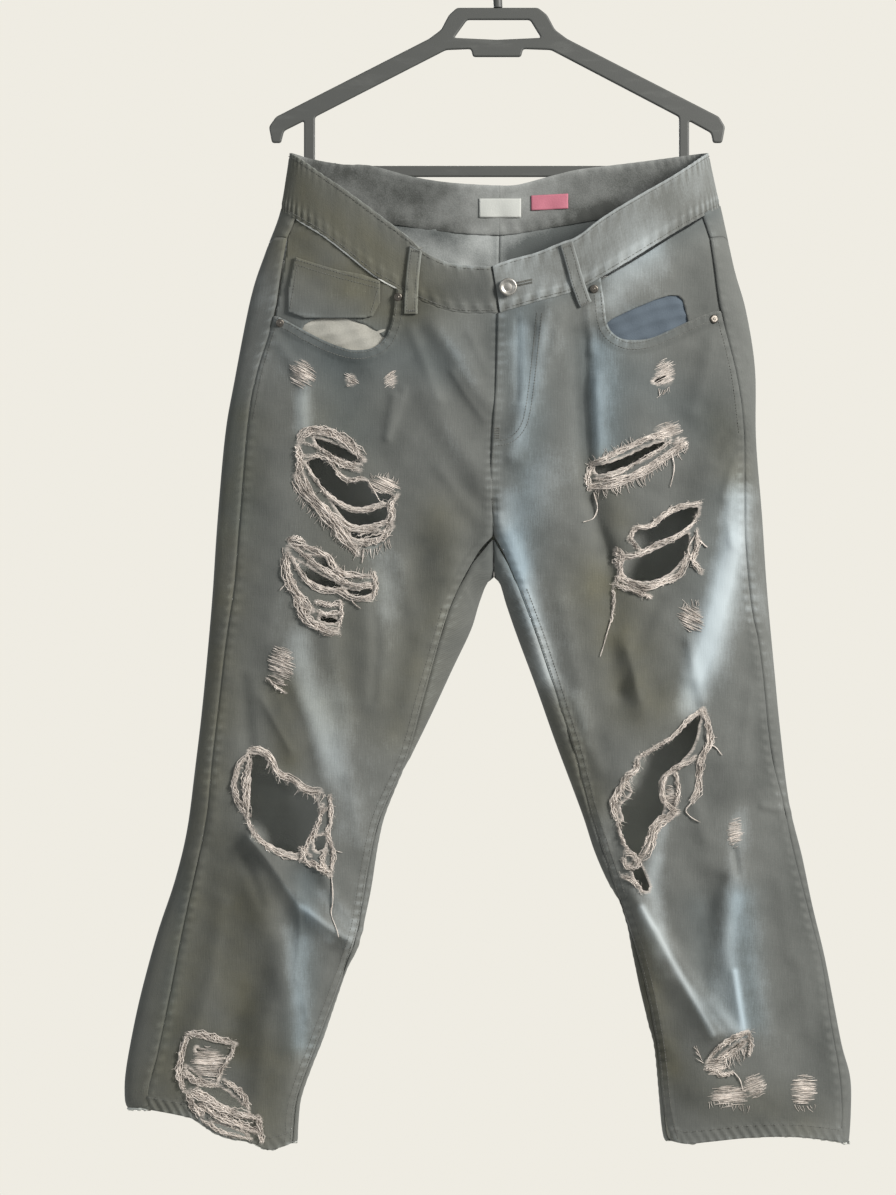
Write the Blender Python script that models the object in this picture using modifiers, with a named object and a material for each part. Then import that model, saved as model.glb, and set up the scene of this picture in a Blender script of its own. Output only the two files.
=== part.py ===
"""Ripped five-pocket jeans that hang on a moulded clothes hanger, at real size.

Outlines are drawn on a layout sheet in millimetres: across from its left edge and down from
its top edge, as the garment is seen from the front. The rail that the hook hangs on touches
the origin. Depth runs along Y in millimetres, with the front of the garment towards -Y.
Sides are the wearer's, so the right side lies towards -X.
"""

import math

import bmesh
import bpy
import numpy as np
from mathutils import Vector
from mathutils.bvhtree import BVHTree

MM = 0.001
SEAM_GAP = 0.3
PANEL_MARGIN = 0.4
BACK_MARGIN = 1.1
CROTCH_MARGIN = 1.4
CENTRE_MARGIN = 0.4
YOKE_MARGIN = 1.0
CLOTH = 1.4
BAND_WALL = 2.6
BAND_PROUD = 0.6
COTTON = 1.0
LABEL_WALL = 0.5

# The layout sheet
CENTRE_LINE = 497.0
RAIL_ABOVE_SHEET = 60.0
VIEW_DISTANCE = 2500.0
SHEET_DEPTH = -30.0
EYE_ACROSS = 448.0
EYE_DOWN = 597.5

# The flattened tube of the garment
BAR_THICK = 5.0
BACK_PLANE = -BAR_THICK / 2 - SEAM_GAP - 1.2
TUBE_DEPTH = ((150, 76), (230, 76), (310, 70), (420, 63), (560, 56), (700, 52), (860, 50), (1150, 48))
FRONT_ROUND = ((150, 2.1), (320, 2.3), (600, 2.6), (1150, 2.5))
BACK_ROUND = 4.5
THIGH_SPLIT = (455.0, 600.0)
CROTCH_ACROSS = 494.0
CROTCH_LOW = 577.0
CROTCH_CURL = ((570.0, 9.0), (577.0, 26.0))
CROTCH_DIP = 46.0
DIP_ROWS_ABOVE = 2.6
DIP_ROWS_BELOW = 5.0
DIP_TO_ONE = 9.48  # brings the dip's curve, part ** 3 * (1 - part), to one at its top
SEAT_END_DOWN = 556.0
ROW_SAMPLES = 121
ROWS_TOP = 11
ROWS_LEG = 22
ROWS = ROWS_TOP + ROWS_LEG
LEG_START_ROW = ROWS_TOP - 4
LEG_BLEND_ROWS = 4.5
RISE_ROWS = 4
CROWDED_ROWS = 1.6
BEHIND_FADE = 12.0
FRONT_COLUMNS = 13
FRONT_WIDTH = 215.0
PANEL_LENGTH = 880.0
BACK_COLUMNS = 14
CROTCH_ROW_DOWN = 560.0
YOKE_SIDE_DOWN = 240.0
YOKE_CENTRE_DOWN = 300.0
FLY_STEP = 1.7
FLY_OUTER_EDGE = 540.0
FLY_OUTER_FADE = 30.0
FLY_LOW_END = 480.0
FLY_LOW_FADE = 25.0

RIGHT = "right"
LEFT = "left"
SIDES = (RIGHT, LEFT)

OUTER_EDGE = {
    RIGHT: ((290, 153), (281, 209), (266, 251), (251, 297), (234, 383), (225, 436), (217, 526),
            (212, 601), (203, 700), (195, 769), (187, 830), (175, 880), (159, 928), (147, 970),
            (136, 1015), (126, 1069), (125, 1096), (131, 1112)),
    LEFT: ((708, 153), (720, 204), (726, 231), (735, 272), (746, 311), (755, 369), (756, 440),
           (762, 515), (767, 590), (775, 677), (780, 728), (789, 802), (802, 856), (812, 904),
           (824, 954), (834, 1005), (842, 1046), (850, 1076), (851, 1106), (848, 1146)),
}
SIDE_SEAM = {
    RIGHT: ((295, 219), (284, 247), (274, 315), (257, 372), (248, 419), (239, 526), (234, 586),
            (226, 640), (219, 700), (211, 769), (205, 826), (184, 922), (171, 988), (156, 1060),
            (148, 1087), (145, 1109)),
    LEFT: ((703, 217), (712, 244), (721, 311), (736, 372), (744, 433), (745, 533), (751, 604),
           (758, 640), (763, 677), (771, 752), (783, 802), (793, 850), (810, 917), (822, 964),
           (830, 1019), (840, 1080), (843, 1143)),
}
INNER_EDGE = {
    RIGHT: ((494, 577), (487, 584), (479, 604), (471, 630), (453, 668), (434, 709), (412, 754),
            (402, 772), (385, 814), (378, 844), (370, 895), (357, 949), (345, 973), (324, 1036),
            (312, 1066), (300, 1102), (297, 1142)),
    LEFT: ((494, 577), (500, 584), (506, 604), (517, 636), (536, 687), (555, 741), (573, 789),
           (584, 819), (594, 850), (607, 880), (624, 910), (633, 954), (639, 985), (648, 1022),
           (655, 1049), (661, 1113), (666, 1140)),
}
INSEAM = {
    RIGHT: ((491, 535), (476, 556), (449, 610), (425, 693), (407, 757), (380, 818), (368, 870),
            (355, 940), (322, 1030), (297, 1098), (292, 1143)),
    LEFT: ((497, 535), (505, 556), (520, 591), (539, 642), (559, 703), (575, 754), (590, 812),
           (614, 884), (639, 960), (656, 1040), (664, 1110), (671, 1141)),
}
HEM = {
    RIGHT: ((145, 1109), (177, 1115), (195, 1120), (212, 1132), (231, 1139), (252, 1143),
            (267, 1150), (282, 1147), (292, 1143)),
    LEFT: ((671, 1141), (687, 1144), (709, 1142), (749, 1138), (790, 1137), (824, 1140), (843, 1143)),
}
CENTRE_FRONT = {
    RIGHT: ((498, 313), (496, 391), (493, 423), (490, 480), (491, 535)),
    LEFT: ((499, 313), (497, 391), (494.5, 423), (491.5, 480), (497, 535)),
}
WAIST_SEAM = {
    RIGHT: ((282, 211), (296, 219), (322, 234), (347, 253), (373, 274), (394, 286), (420, 300),
            (456, 312), (499, 313)),
    LEFT: ((499, 313), (539, 301), (575, 291), (605, 275), (632, 259), (656, 244), (689, 224), (719, 208)),
}
BAND_TOP_FRONT = {
    RIGHT: ((290, 153), (299, 158), (322, 174), (347, 191), (373, 210), (408, 237), (423, 251),
            (446, 262), (473, 266), (497, 266)),
    LEFT: ((492, 266), (512, 259), (535, 253), (560, 243), (578, 236), (603, 217), (639, 195),
           (674, 175), (708, 153)),
}
BAND_TOP_BACK = ((290, 153), (314, 160), (343, 165), (370, 166), (408, 176), (434, 181), (461, 184),
                 (499, 186), (519, 185), (549, 177), (578, 170), (610, 166), (651, 161), (708, 153))
BAND_SEAM_BACK = ((282, 211), (340, 217), (396, 225), (446, 232), (499, 235), (534, 231),
                  (563, 226), (620, 217), (719, 208))
CENTRE_BACK = BAND_SEAM_BACK[4][0]
CENTRE_BACK_DOWN = BAND_SEAM_BACK[4][1]
OVERLAP_END = 492.0
BAND_END_SLANT = 7.5

# Largest folds: route, height out of the cloth (negative is a trough) and half width
FOLDS = (
    (((437, 326), (466, 369), (487, 401)), 5.0, 13.0),
    (((426, 390), (466, 454), (484, 483)), 5.0, 15.0),
    (((366, 590), (374, 640), (372, 700)), 5.0, 17.0),
    (((262, 672), (275, 760)), -7.0, 24.0),
    (((255, 842), (298, 905), (351, 942)), 7.0, 15.0),
    (((252, 880), (276, 940), (294, 1045)), 6.0, 15.0),
    (((300, 905), (262, 960), (238, 1020)), -5.0, 16.0),
    (((586, 335), (583, 390), (586, 460), (606, 551)), -6.0, 12.0),
    (((549, 311), (537, 354), (514, 454)), 5.0, 13.0),
    (((716, 352), (708, 380), (696, 411)), 4.0, 13.0),
    (((742, 533), (724, 586), (703, 640), (692, 676)), 5.5, 14.0),
    (((624, 640), (641, 708)), 5.0, 13.0),
    (((606, 560), (618, 690)), -4.0, 14.0),
    (((634, 897), (671, 975), (722, 1032)), 6.5, 15.0),
    (((736, 877), (726, 944), (746, 1029)), 6.0, 15.0),
    (((700, 880), (712, 950)), -4.0, 14.0),
)
BACK_FOLDS = (
    (((300, 560), (400, 585), (470, 560)), 5.0, 18.0),
    (((720, 560), (610, 588), (520, 560)), 5.0, 18.0),
    (((240, 800), (300, 825), (380, 800)), 5.0, 18.0),
    (((770, 800), (700, 828), (610, 800)), 5.0, 18.0),
    (((240, 860), (290, 900), (340, 960)), 4.0, 16.0),
    (((770, 860), (720, 900), (670, 960)), 4.0, 16.0),
)

# Pocket mouths, the pieces behind them and what is sewn on
POCKET_MOUTH = {
    RIGHT: ((240, 200), (240, 308), (276, 316), (296, 326), (315, 336), (335, 345), (353, 350),
            (372, 348), (385, 338), (392, 320), (395, 298), (398, 270), (398, 200)),
    LEFT: ((598, 200), (600, 270), (604, 300), (608, 326), (620, 338), (636, 340), (651, 338),
           (668, 331), (685, 323), (703, 315), (718, 311), (760, 306), (760, 200)),
}
FACING_OUTLINE = {
    RIGHT: ((240, 190), (240, 322), (300, 322), (340, 324), (376, 330), (404, 340), (412, 190)),
    LEFT: ((594, 190), (596, 330), (609, 326), (642, 308), (675, 294), (700, 318), (765, 318), (765, 190)),
}
BAG_OUTLINE = {
    RIGHT: ((290, 300), (288, 352), (330, 372), (372, 374), (406, 352), (408, 300)),
    LEFT: ((594, 296), (596, 346), (630, 360), (668, 356), (704, 334), (702, 290)),
}
COIN_POCKET = ((295, 257), (338, 270), (380, 281), (373, 316), (330, 318), (288, 312))
BACK_POCKET = {
    RIGHT: ((300, 328), (440, 342), (432, 470), (366, 506), (300, 468)),
    LEFT: ((694, 328), (554, 342), (562, 470), (628, 506), (694, 468)),
}
FLY_SHIELD = ((484, 276), (480, 444), (512, 448), (532, 270))
LABELS = {
    "label_white": ((479, 199), (479, 218), (521, 218), (521, 199)),
    "label_pink": ((531, 196), (531, 211), (568, 209), (568, 194)),
}
FRONT_LOOPS = {
    RIGHT: ((416, 251), (414, 266), (412, 286), (411, 303), (411, 312)),
    LEFT: ((568, 247), (572, 262), (577, 282), (583, 299), (586, 304)),
}
LOOP_WIDTH = 13.0
POCKET_LIFT = 0.7
LOOP_WALL = 1.6
REAR_LOOPS = {RIGHT: 330.0, LEFT: 662.0}
REAR_LOOP_DOWN = 212.0
SEAM_STEP = 0.8
CENTRE_LOOP = ((499, 187), (499, 205), (499, 222), (498, 240), (498, 250))
BUTTON = (508.0, 287.0)
BUTTON_RADIUS = 8.7
RIVETS = ((280, 323), (398, 297), (594, 289), (714, 319))
RIVET_RADIUS = 4.2

# Rips that are cut through the front panels
RIPS = {
    RIGHT: (
        ((314, 437), (340, 449), (364, 460), (352, 465), (328, 454), (312, 446)),
        ((307, 461), (328, 460), (343, 478), (364, 481), (386, 504), (360, 511), (341, 503), (322, 488)),
        ((330, 500), (358, 514), (386, 510), (384, 519), (356, 525), (336, 513)),
        ((369, 484), (382, 482), (395, 492), (396, 501), (384, 498)),
        ((350, 531), (379, 532), (379, 537), (354, 537)),
        ((306, 556), (324, 561), (342, 568), (341, 574), (322, 572), (306, 563)),
        ((295, 568), (318, 577), (340, 579), (340, 587), (318, 588), (297, 578)),
        ((342, 588), (371, 588), (371, 594), (350, 597)),
        ((249, 752), (267, 762), (278, 775), (296, 781), (310, 795), (320, 805), (316, 824),
         (306, 842), (296, 856), (282, 850), (259, 840), (248, 820), (246, 785)),
        ((198, 1087), (218, 1086), (235, 1093), (248, 1111), (228, 1109), (212, 1098)),
    ),
    LEFT: (
        ((592, 464), (628, 452), (665, 442), (662, 452), (630, 463), (596, 472)),
        ((629, 540), (637, 526), (658, 516), (680, 509), (698, 508), (686, 528), (656, 543), (641, 550)),
        ((625, 564), (641, 557), (664, 547), (687, 535), (689, 550), (677, 569), (646, 583), (624, 577)),
        ((702, 712), (687, 724), (672, 740), (656, 747), (640, 760), (637, 772), (627, 781), (629, 795),
         (620, 809), (617, 822), (624, 845), (637, 858), (646, 848), (653, 821), (663, 802), (664, 778),
         (678, 764), (695, 741)),
        ((626, 866), (650, 862), (649, 887), (638, 880)),
        ((700, 1036), (716, 1034), (716, 1040), (701, 1042)),
    ),
}

# Frayed edges: side, root line, where the strands reach from it, and how many
FRAYS = {
    "fray_thigh_right_upper": (RIGHT, ((306, 430), (336, 441), (368, 456)), (3, 9), 9),
    "fray_thigh_right_middle": (RIGHT, ((303, 456), (330, 455), (348, 474), (368, 476)), (6, 14), 10),
    "fray_thigh_right_lower": (RIGHT, ((318, 528), (346, 544), (374, 545)), (3, 12), 9),
    "fray_thigh_right_band": (RIGHT, ((290, 562), (318, 551), (346, 563)), (3, 11), 7),
    "fray_thigh_right_hem": (RIGHT, ((293, 598), (318, 606), (342, 602)), (2, 15), 7),
    "fray_knee_right_upper": (RIGHT, ((251, 746), (276, 766), (300, 776), (324, 800)), (2, 19), 10),
    "fray_knee_right_side": (RIGHT, ((326, 812), (319, 832), (303, 858)), (9, 26), 6),
    "fray_hem_right": (RIGHT, ((194, 1080), (222, 1079), (248, 1098)), (1, 16), 9),
    "fray_thigh_left_upper": (LEFT, ((590, 458), (628, 446), (668, 436)), (1, 13), 10),
    "fray_thigh_left_middle": (LEFT, ((628, 522), (660, 510), (700, 502)), (1, 13), 10),
    "fray_thigh_left_lower": (LEFT, ((622, 585), (646, 589), (680, 574)), (-3, 15), 9),
    "fray_knee_left_upper": (LEFT, ((634, 756), (656, 741), (682, 724), (704, 706)), (-1, 22), 10),
    "fray_knee_left_side": (LEFT, ((668, 780), (667, 803), (657, 824)), (9, 22), 6),
    "fray_hem_left": (LEFT, ((697, 1030), (722, 1029), (748, 1034)), (2, 30), 9),
}
FRAY_STRIP = 2.6
FRAY_WALL = 0.8
FRAY_LIFT = 0.7

# The hanger: a flat moulded frame and its hook
HANGER_OUTLINE = ((457, 8), (538, 8), (547, 15), (555, 30), (567, 39), (719, 117), (725, 127),
                  (722, 143), (713, 143), (711, 133), (689, 121), (689, 177), (304, 177), (304, 121),
                  (284, 131), (281, 143), (272, 143), (269, 127), (276, 117), (429, 39), (441, 30),
                  (449, 15))
HANDLE_WINDOW = ((467, 20), (530, 20), (541, 38), (497, 40), (454, 38))
HANGER_WINDOW = ((315, 117), (446, 50), (471, 49), (473, 57), (521, 57), (523, 49), (551, 50),
                 (679, 117), (679, 166), (315, 166))
HANGER_BACK = BAR_THICK / 2
BAR_DOWN = (166.0, 177.0)
HOOK_INNER = 21.0
HOOK_RADIUS = 4.5
NECK_ACROSS = 498.0
NECK_DOWN = 7.7

DENIM = (0.125, 0.150, 0.155, 1.0)
DENIM_INSIDE = (0.150, 0.155, 0.145, 1.0)
COTTON_COLOUR = (0.30, 0.28, 0.20, 1.0)
FRAY_COLOUR = (0.50, 0.45, 0.36, 1.0)
PLASTIC = (0.060, 0.065, 0.060, 1.0)
METAL = (0.22, 0.20, 0.17, 1.0)
WHITE_LABEL = (0.70, 0.70, 0.66, 1.0)
PINK_LABEL = (0.55, 0.36, 0.33, 1.0)


def clear_scene():
    for item in list(bpy.data.objects):
        bpy.data.objects.remove(item, do_unlink=True)


def collection(name):
    made = bpy.data.collections.new(name)
    bpy.context.scene.collection.children.link(made)
    return made


def material(name, colour, roughness=0.9, metallic=0.0):
    made = bpy.data.materials.new(name)
    made.use_nodes = True
    shader = made.node_tree.nodes["Principled BSDF"]
    shader.inputs["Base Color"].default_value = colour
    shader.inputs["Roughness"].default_value = roughness
    shader.inputs["Metallic"].default_value = metallic
    return made


def place(across, down, depth):
    """World point of a place on the sheet, seen from the eye and moved to its depth."""
    nearness = (VIEW_DISTANCE + depth - SHEET_DEPTH) / VIEW_DISTANCE
    across = EYE_ACROSS + (across - EYE_ACROSS) * nearness
    down = EYE_DOWN + (down - EYE_DOWN) * nearness
    return Vector(((across - CENTRE_LINE) * MM, depth * MM, -(down + RAIL_ABOVE_SHEET) * MM))


def rounded(points, steps=6):
    """The points with more between them, on a smooth curve through them all."""
    points = np.array(points, float)
    padded = np.vstack((2 * points[0] - points[1], points, 2 * points[-1] - points[-2]))
    curve = []
    for first, second, third, fourth in zip(padded, padded[1:], padded[2:], padded[3:]):
        for step in range(steps):
            t = step / steps
            curve.append(0.5 * (2 * second + (third - first) * t
                                + (2 * first - 5 * second + 4 * third - fourth) * t ** 2
                                + (3 * second - first - 3 * third + fourth) * t ** 3))
    curve.append(points[-1])
    return np.array(curve)


class Reader:
    """Reads outlines, keeping each smooth curve that it has worked out."""

    def __init__(self):
        self.curves = {}

    def __call__(self, points, value, by_down=True):
        if points not in self.curves:
            self.curves[points] = rounded(points)
        curve = self.curves[points]
        if by_down:
            return float(np.interp(value, curve[:, 1], curve[:, 0]))
        return float(np.interp(value, curve[:, 0], curve[:, 1]))


read = Reader()


def ease(value):
    value = min(1.0, max(0.0, value))
    return value * value * (3 - 2 * value)


def front_power(down):
    return float(np.interp(down, *zip(*FRONT_ROUND)))


def tube_depth(down):
    return float(np.interp(down, *zip(*TUBE_DEPTH)))


def middle_depth(down):
    return BACK_PLANE - tube_depth(down) / 2


def fold_height(folds, across, down):
    here = np.array((across, down))
    total = 0.0
    for route, height, width in folds:
        nearest = 1e9
        for start, end in zip(route, route[1:]):
            start = np.array(start, float)
            run = np.array(end, float) - start
            along = min(1.0, max(0.0, float(np.dot(here - start, run) / np.dot(run, run))))
            nearest = min(nearest, float(np.linalg.norm(here - start - along * run)))
        total += height * math.exp(-((nearest / width) ** 2))
    return total


def roundness(offset, power):
    """How far out of the middle a flattened tube reaches, 0 at its edge and 1 at its middle."""
    offset = min(1.0, abs(offset))
    return (1 - offset ** power) ** (1 / power)


def hip_edges(down):
    return read(OUTER_EDGE[RIGHT], down), read(OUTER_EDGE[LEFT], down)


def leg_edges(side, down):
    outer = read(OUTER_EDGE[side], down)
    inner = read(INNER_EDGE[side], down) if down > CROTCH_LOW else CROTCH_ACROSS
    return outer, inner


def offset_in(edges, across):
    middle = (edges[0] + edges[1]) / 2
    return (across - middle) / abs(edges[1] - edges[0]) * 2


def split(down):
    return ease((down - THIGH_SPLIT[0]) / (THIGH_SPLIT[1] - THIGH_SPLIT[0]))


def front_depth(across, down):
    """Depth of the garment's outer face in front, folds included."""
    power = front_power(down)
    hip = roundness(offset_in(hip_edges(down), across), power)
    side = RIGHT if across < CROTCH_ACROSS else LEFT
    leg = roundness(offset_in(leg_edges(side, down), across), power)
    shape = hip + (leg - hip) * split(down)
    fade = min(1.0, 3 * shape)
    return middle_depth(down) - tube_depth(down) / 2 * shape - fade * fold_height(FOLDS, across, down)


def along(points, part):
    """A place on a run of points, by its share of their count."""
    points = np.array(points, float)
    at = part * (len(points) - 1)
    columns = [np.interp(at, range(len(points)), points[:, i]) for i in range(points.shape[1])]
    return np.array(columns)


def outer_stations(side):
    """Where the rows of both panels of a leg meet the side seam."""
    seam = SIDE_SEAM[side]
    top = np.concatenate(([seam[0][1]], np.linspace(YOKE_SIDE_DOWN, CROTCH_ROW_DOWN, ROWS_TOP)))
    leg = np.linspace(CROTCH_ROW_DOWN, seam[-1][1], ROWS_LEG + 1)
    return [(read(seam, down), down) for down in (*top, *leg[1:])]


def inseam_stations(side):
    seam = INSEAM[side]
    downs = np.linspace(seam[0][1], seam[-1][1], ROWS_LEG + 1)
    return [(read(seam, down), down) for down in downs]


def front_stations(side):
    seam = CENTRE_FRONT[side]
    downs = np.linspace(seam[0][1], seam[-1][1], ROWS_TOP + 1)
    centre = [(read(seam, down), down) for down in downs]
    return centre[:-1] + inseam_stations(side)


def run_between(points, start, end, part):
    across = start[0] + (end[0] - start[0]) * part
    return np.array((across, read(points, across, by_down=False)))


def front_sheet(side):
    """Function of (part across from the side seam, part down) that gives a sheet place."""
    outer = outer_stations(side)
    inner = front_stations(side)
    corners = [np.array(p, float) for p in (outer[0], inner[0], outer[-1], inner[-1])]

    def sheet(u, v):
        top = run_between(WAIST_SEAM[side], corners[0], corners[1], u)
        hem = run_between(HEM[side], corners[2], corners[3], u)
        edges = (1 - u) * along(outer, v) + u * along(inner, v)
        straight = ((1 - v) * ((1 - u) * corners[0] + u * corners[1])
                    + v * ((1 - u) * corners[2] + u * corners[3]))
        return edges + (1 - v) * top + v * hem - straight

    return sheet


def fly_lift(side, across, down):
    """How far the closed fly stands off the front panel under it."""
    if side == RIGHT or down > FLY_LOW_END:
        return 0.0
    fade = ease((FLY_OUTER_EDGE - across) / FLY_OUTER_FADE)
    return FLY_STEP * fade * ease((FLY_LOW_END - down) / FLY_LOW_FADE)


def front_point(side):
    sheet = front_sheet(side)
    margin = PANEL_MARGIN / FRONT_WIDTH
    rise = PANEL_MARGIN / PANEL_LENGTH

    def point(u, v):
        across, down = sheet(margin + u * (1 - 2 * margin), rise + v * (1 - rise))
        return place(across, down, front_depth(across, down) - fly_lift(side, across, down))

    return point


def ring_place(edges, angle, down):
    """Across and depth on a flattened tube: angle 0 is its outer edge, a quarter turn its back."""
    outer, inner = edges
    behind = math.sin(angle) > 0
    power = BACK_ROUND if behind else front_power(down)
    reach = (abs(math.cos(angle)) ** power + abs(math.sin(angle)) ** power) ** (-1 / power)
    across = (outer + inner) / 2 + (outer - inner) / 2 * math.cos(angle) * reach
    return np.array((across, middle_depth(down) + tube_depth(down) / 2 * math.sin(angle) * reach))


def seam_angle(edges, across, down):
    offset = min(0.9999, abs(offset_in(edges, across)))
    return math.atan2(roundness(offset, front_power(down)), offset)


def centre_back_stations():
    """The centre back seam, and the crotch curve that ends at the front crotch point."""
    top = BAND_SEAM_BACK[4]
    stations = [(*top, BACK_PLANE)]
    for down in np.linspace(YOKE_CENTRE_DOWN, SEAT_END_DOWN, ROWS_TOP - 3):
        lean = (down - top[1]) / (SEAT_END_DOWN - top[1])
        stations.append((top[0] + (CROTCH_ACROSS - top[0]) * lean, down, BACK_PLANE))
    for down, forward in CROTCH_CURL:
        stations.append((CROTCH_ACROSS, down, BACK_PLANE - forward))
    return stations


def back_inner_stations(side):
    leg = [(across, down, front_depth(across, down)) for across, down in inseam_stations(side)]
    return centre_back_stations() + leg


def crotch_sag(row):
    """How far a row of the back panel dips on its way under the crotch."""
    past = row - ROWS_TOP
    dip = CROTCH_DIP * math.exp(-((past / DIP_ROWS_ABOVE) ** 2))
    if past > 0:
        dip = max(dip, CROTCH_DIP * math.exp(-past / DIP_ROWS_BELOW))
    return dip


class BackRows:
    """The rows of a back panel, from the side seam round the back to the inner seam."""

    def __init__(self, side):
        self.side = side
        self.outer = outer_stations(side)
        self.inner = back_inner_stations(side)
        self.rows = {}
        self.rise = self.band_rise()

    def turned(self, v, start, end, part, down):
        """Across and depth, between the seat's half tube and the leg's whole one."""
        hip = hip_edges(down) if self.side == RIGHT else hip_edges(down)[::-1]
        leg = leg_edges(self.side, down)
        share = ease((v * ROWS - LEG_START_ROW) / LEG_BLEND_ROWS)
        hip_start = -seam_angle(hip, start[0], start[1])
        leg_start = -seam_angle(leg, start[0], start[1])
        leg_end = math.pi + seam_angle(leg, end[0], end[1])
        seat = ring_place(hip, hip_start + (math.pi / 2 - hip_start) * part, down)
        tube = ring_place(leg, leg_start + (leg_end - leg_start) * part, down)
        return seat + (tube - seat) * share

    def own_half(self, across, down):
        """Keeps a place on its own side of the centre back and crotch seam."""
        line = float(np.interp(down, (CENTRE_BACK_DOWN, SEAT_END_DOWN), (CENTRE_BACK, CROTCH_ACROSS)))
        if self.side == RIGHT:
            return min(across, line - CENTRE_MARGIN)
        return max(across, line + CENTRE_MARGIN)

    def band_rise(self):
        """How far the top row moves to follow the waistband's lower edge, along that row."""
        start, end = self.outer[0], self.inner[0]
        rise = []
        for part in np.linspace(0, 1, ROW_SAMPLES):
            down = start[1] + (end[1] - start[1]) * part
            across, depth = self.turned(0.0, start, end, part, down)
            seam = BAND_SEAM_BACK if depth > middle_depth(down) else WAIST_SEAM[self.side]
            rise.append(read(seam, across, by_down=False) - down + YOKE_MARGIN)
        return np.array(rise)

    def row(self, v):
        start = along(self.outer, v)
        end = along(self.inner, v)
        start_spot = np.array((start[0], front_depth(*start)))
        end_spot = np.array((end[0], end[2]))
        first = self.turned(v, start, end, 0.0, start[1])
        last = self.turned(v, start, end, 1.0, end[1])
        line = []
        for part in np.linspace(0, 1, ROW_SAMPLES):
            dip = crotch_sag(v * ROWS) * DIP_TO_ONE * part ** 3 * (1 - part)
            rise = float(np.interp(part, np.linspace(0, 1, ROW_SAMPLES), self.rise))
            rise *= max(0.0, 1 - v * ROWS / RISE_ROWS)
            down = start[1] + (end[1] - start[1]) * part + dip + rise
            across, depth = (self.turned(v, start, end, part, down)
                             + (start_spot - first) * (1 - part) ** 4
                             + (end_spot - last) * part ** 4)
            across = self.own_half(across, down)
            behind = ease((depth - middle_depth(down)) / BEHIND_FADE)
            line.append((across, down, depth + behind * fold_height(BACK_FOLDS, across, down)))
        return np.array(line)

    def __call__(self, u, v):
        if v not in self.rows:
            line = self.row(v)
            runs = np.linalg.norm(np.diff(line, axis=0), axis=1)
            self.rows[v] = (line, np.concatenate(([0], np.cumsum(runs))))
        line, lengths = self.rows[v]
        crowded = math.exp(-(((v * ROWS - ROWS_TOP) / CROWDED_ROWS) ** 2))
        near = BACK_MARGIN
        far = BACK_MARGIN * ease(v * ROWS - ROWS_TOP + 3) + CROTCH_MARGIN * crowded
        at = near + u * (lengths[-1] - near - far)
        return place(*(float(np.interp(at, lengths, line[:, i])) for i in range(3)))


def back_depth(across, down):
    reach = roundness(offset_in(hip_edges(down), across), BACK_ROUND)
    return middle_depth(down) + tube_depth(down) / 2 * reach


def band_point(side):
    """Half a waistband, u from the centre front round the side to the centre back."""
    end = {RIGHT: OVERLAP_END - SEAM_GAP, LEFT: OVERLAP_END}[side]
    spans = []
    for front, back in ((BAND_TOP_FRONT, BAND_TOP_BACK), (WAIST_SEAM, BAND_SEAM_BACK)):
        edge = front[side][0] if side == RIGHT else front[side][-1]
        spans.append((edge, front[side], back))
    hand = -1 if side == RIGHT else 1

    def rim(level, u):
        (outer, _), front, back = spans[level]
        front_end = end if level == 0 else end + BAND_END_SLANT
        angle = math.pi * (u - 0.5)
        wide = math.cos(angle)
        behind = angle > 0
        inner = CENTRE_BACK + hand * SEAM_GAP / 2 if behind else front_end
        across = inner + (outer - inner) * wide
        down = read(back if behind else front, across, by_down=False)
        depth = back_depth(across, down) if behind else front_depth(across, down)
        return np.array((across, down, depth))

    def point(u, v):
        top = rim(0, u)
        bottom = rim(1, u) - np.array((0, SEAM_GAP / 2, 0))
        return place(*(top + (bottom - top) * v))

    return point


def smooth_finish(obj, finish, home):
    obj.data.materials.append(finish)
    obj.data.shade_smooth()
    obj.data.set_sharp_from_angle(angle=math.radians(35))
    home.objects.link(obj)
    return obj


def grid_mesh(name, point, columns, rows, outward, span=(0, 1, 0, 1)):
    """A grid laid on the points of a sheet; span picks a part of its columns and rows."""
    shell = bmesh.new()
    bmesh.ops.create_grid(shell, x_segments=columns, y_segments=rows, size=0.5)
    for vert in shell.verts:
        u = span[0] + (span[1] - span[0]) * (vert.co.x + 0.5)
        v = span[2] + (span[3] - span[2]) * (vert.co.y + 0.5)
        vert.co = point(round(u, 6), round(v, 6))
    shell.normal_update()
    facing = sum((face.normal for face in shell.faces), Vector())
    if facing.dot(outward) < 0:
        bmesh.ops.reverse_faces(shell, faces=shell.faces)
    mesh = bpy.data.meshes.new(name)
    shell.to_mesh(mesh)
    shell.free()
    return mesh


def walled(obj, wall, lift=0.0):
    """Cloth of this wall, whose outer face lies lift outside the sheet's points."""
    solid = obj.modifiers.new("Wall", "SOLIDIFY")
    solid.thickness = wall * MM
    solid.offset = 2 * lift / wall - 1
    solid.use_even_offset = True
    return solid


def trimmed(obj, cutter, operation):
    cut = obj.modifiers.new(cutter.name, "BOOLEAN")
    cut.operation = operation
    cut.object = cutter
    return cut


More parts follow.
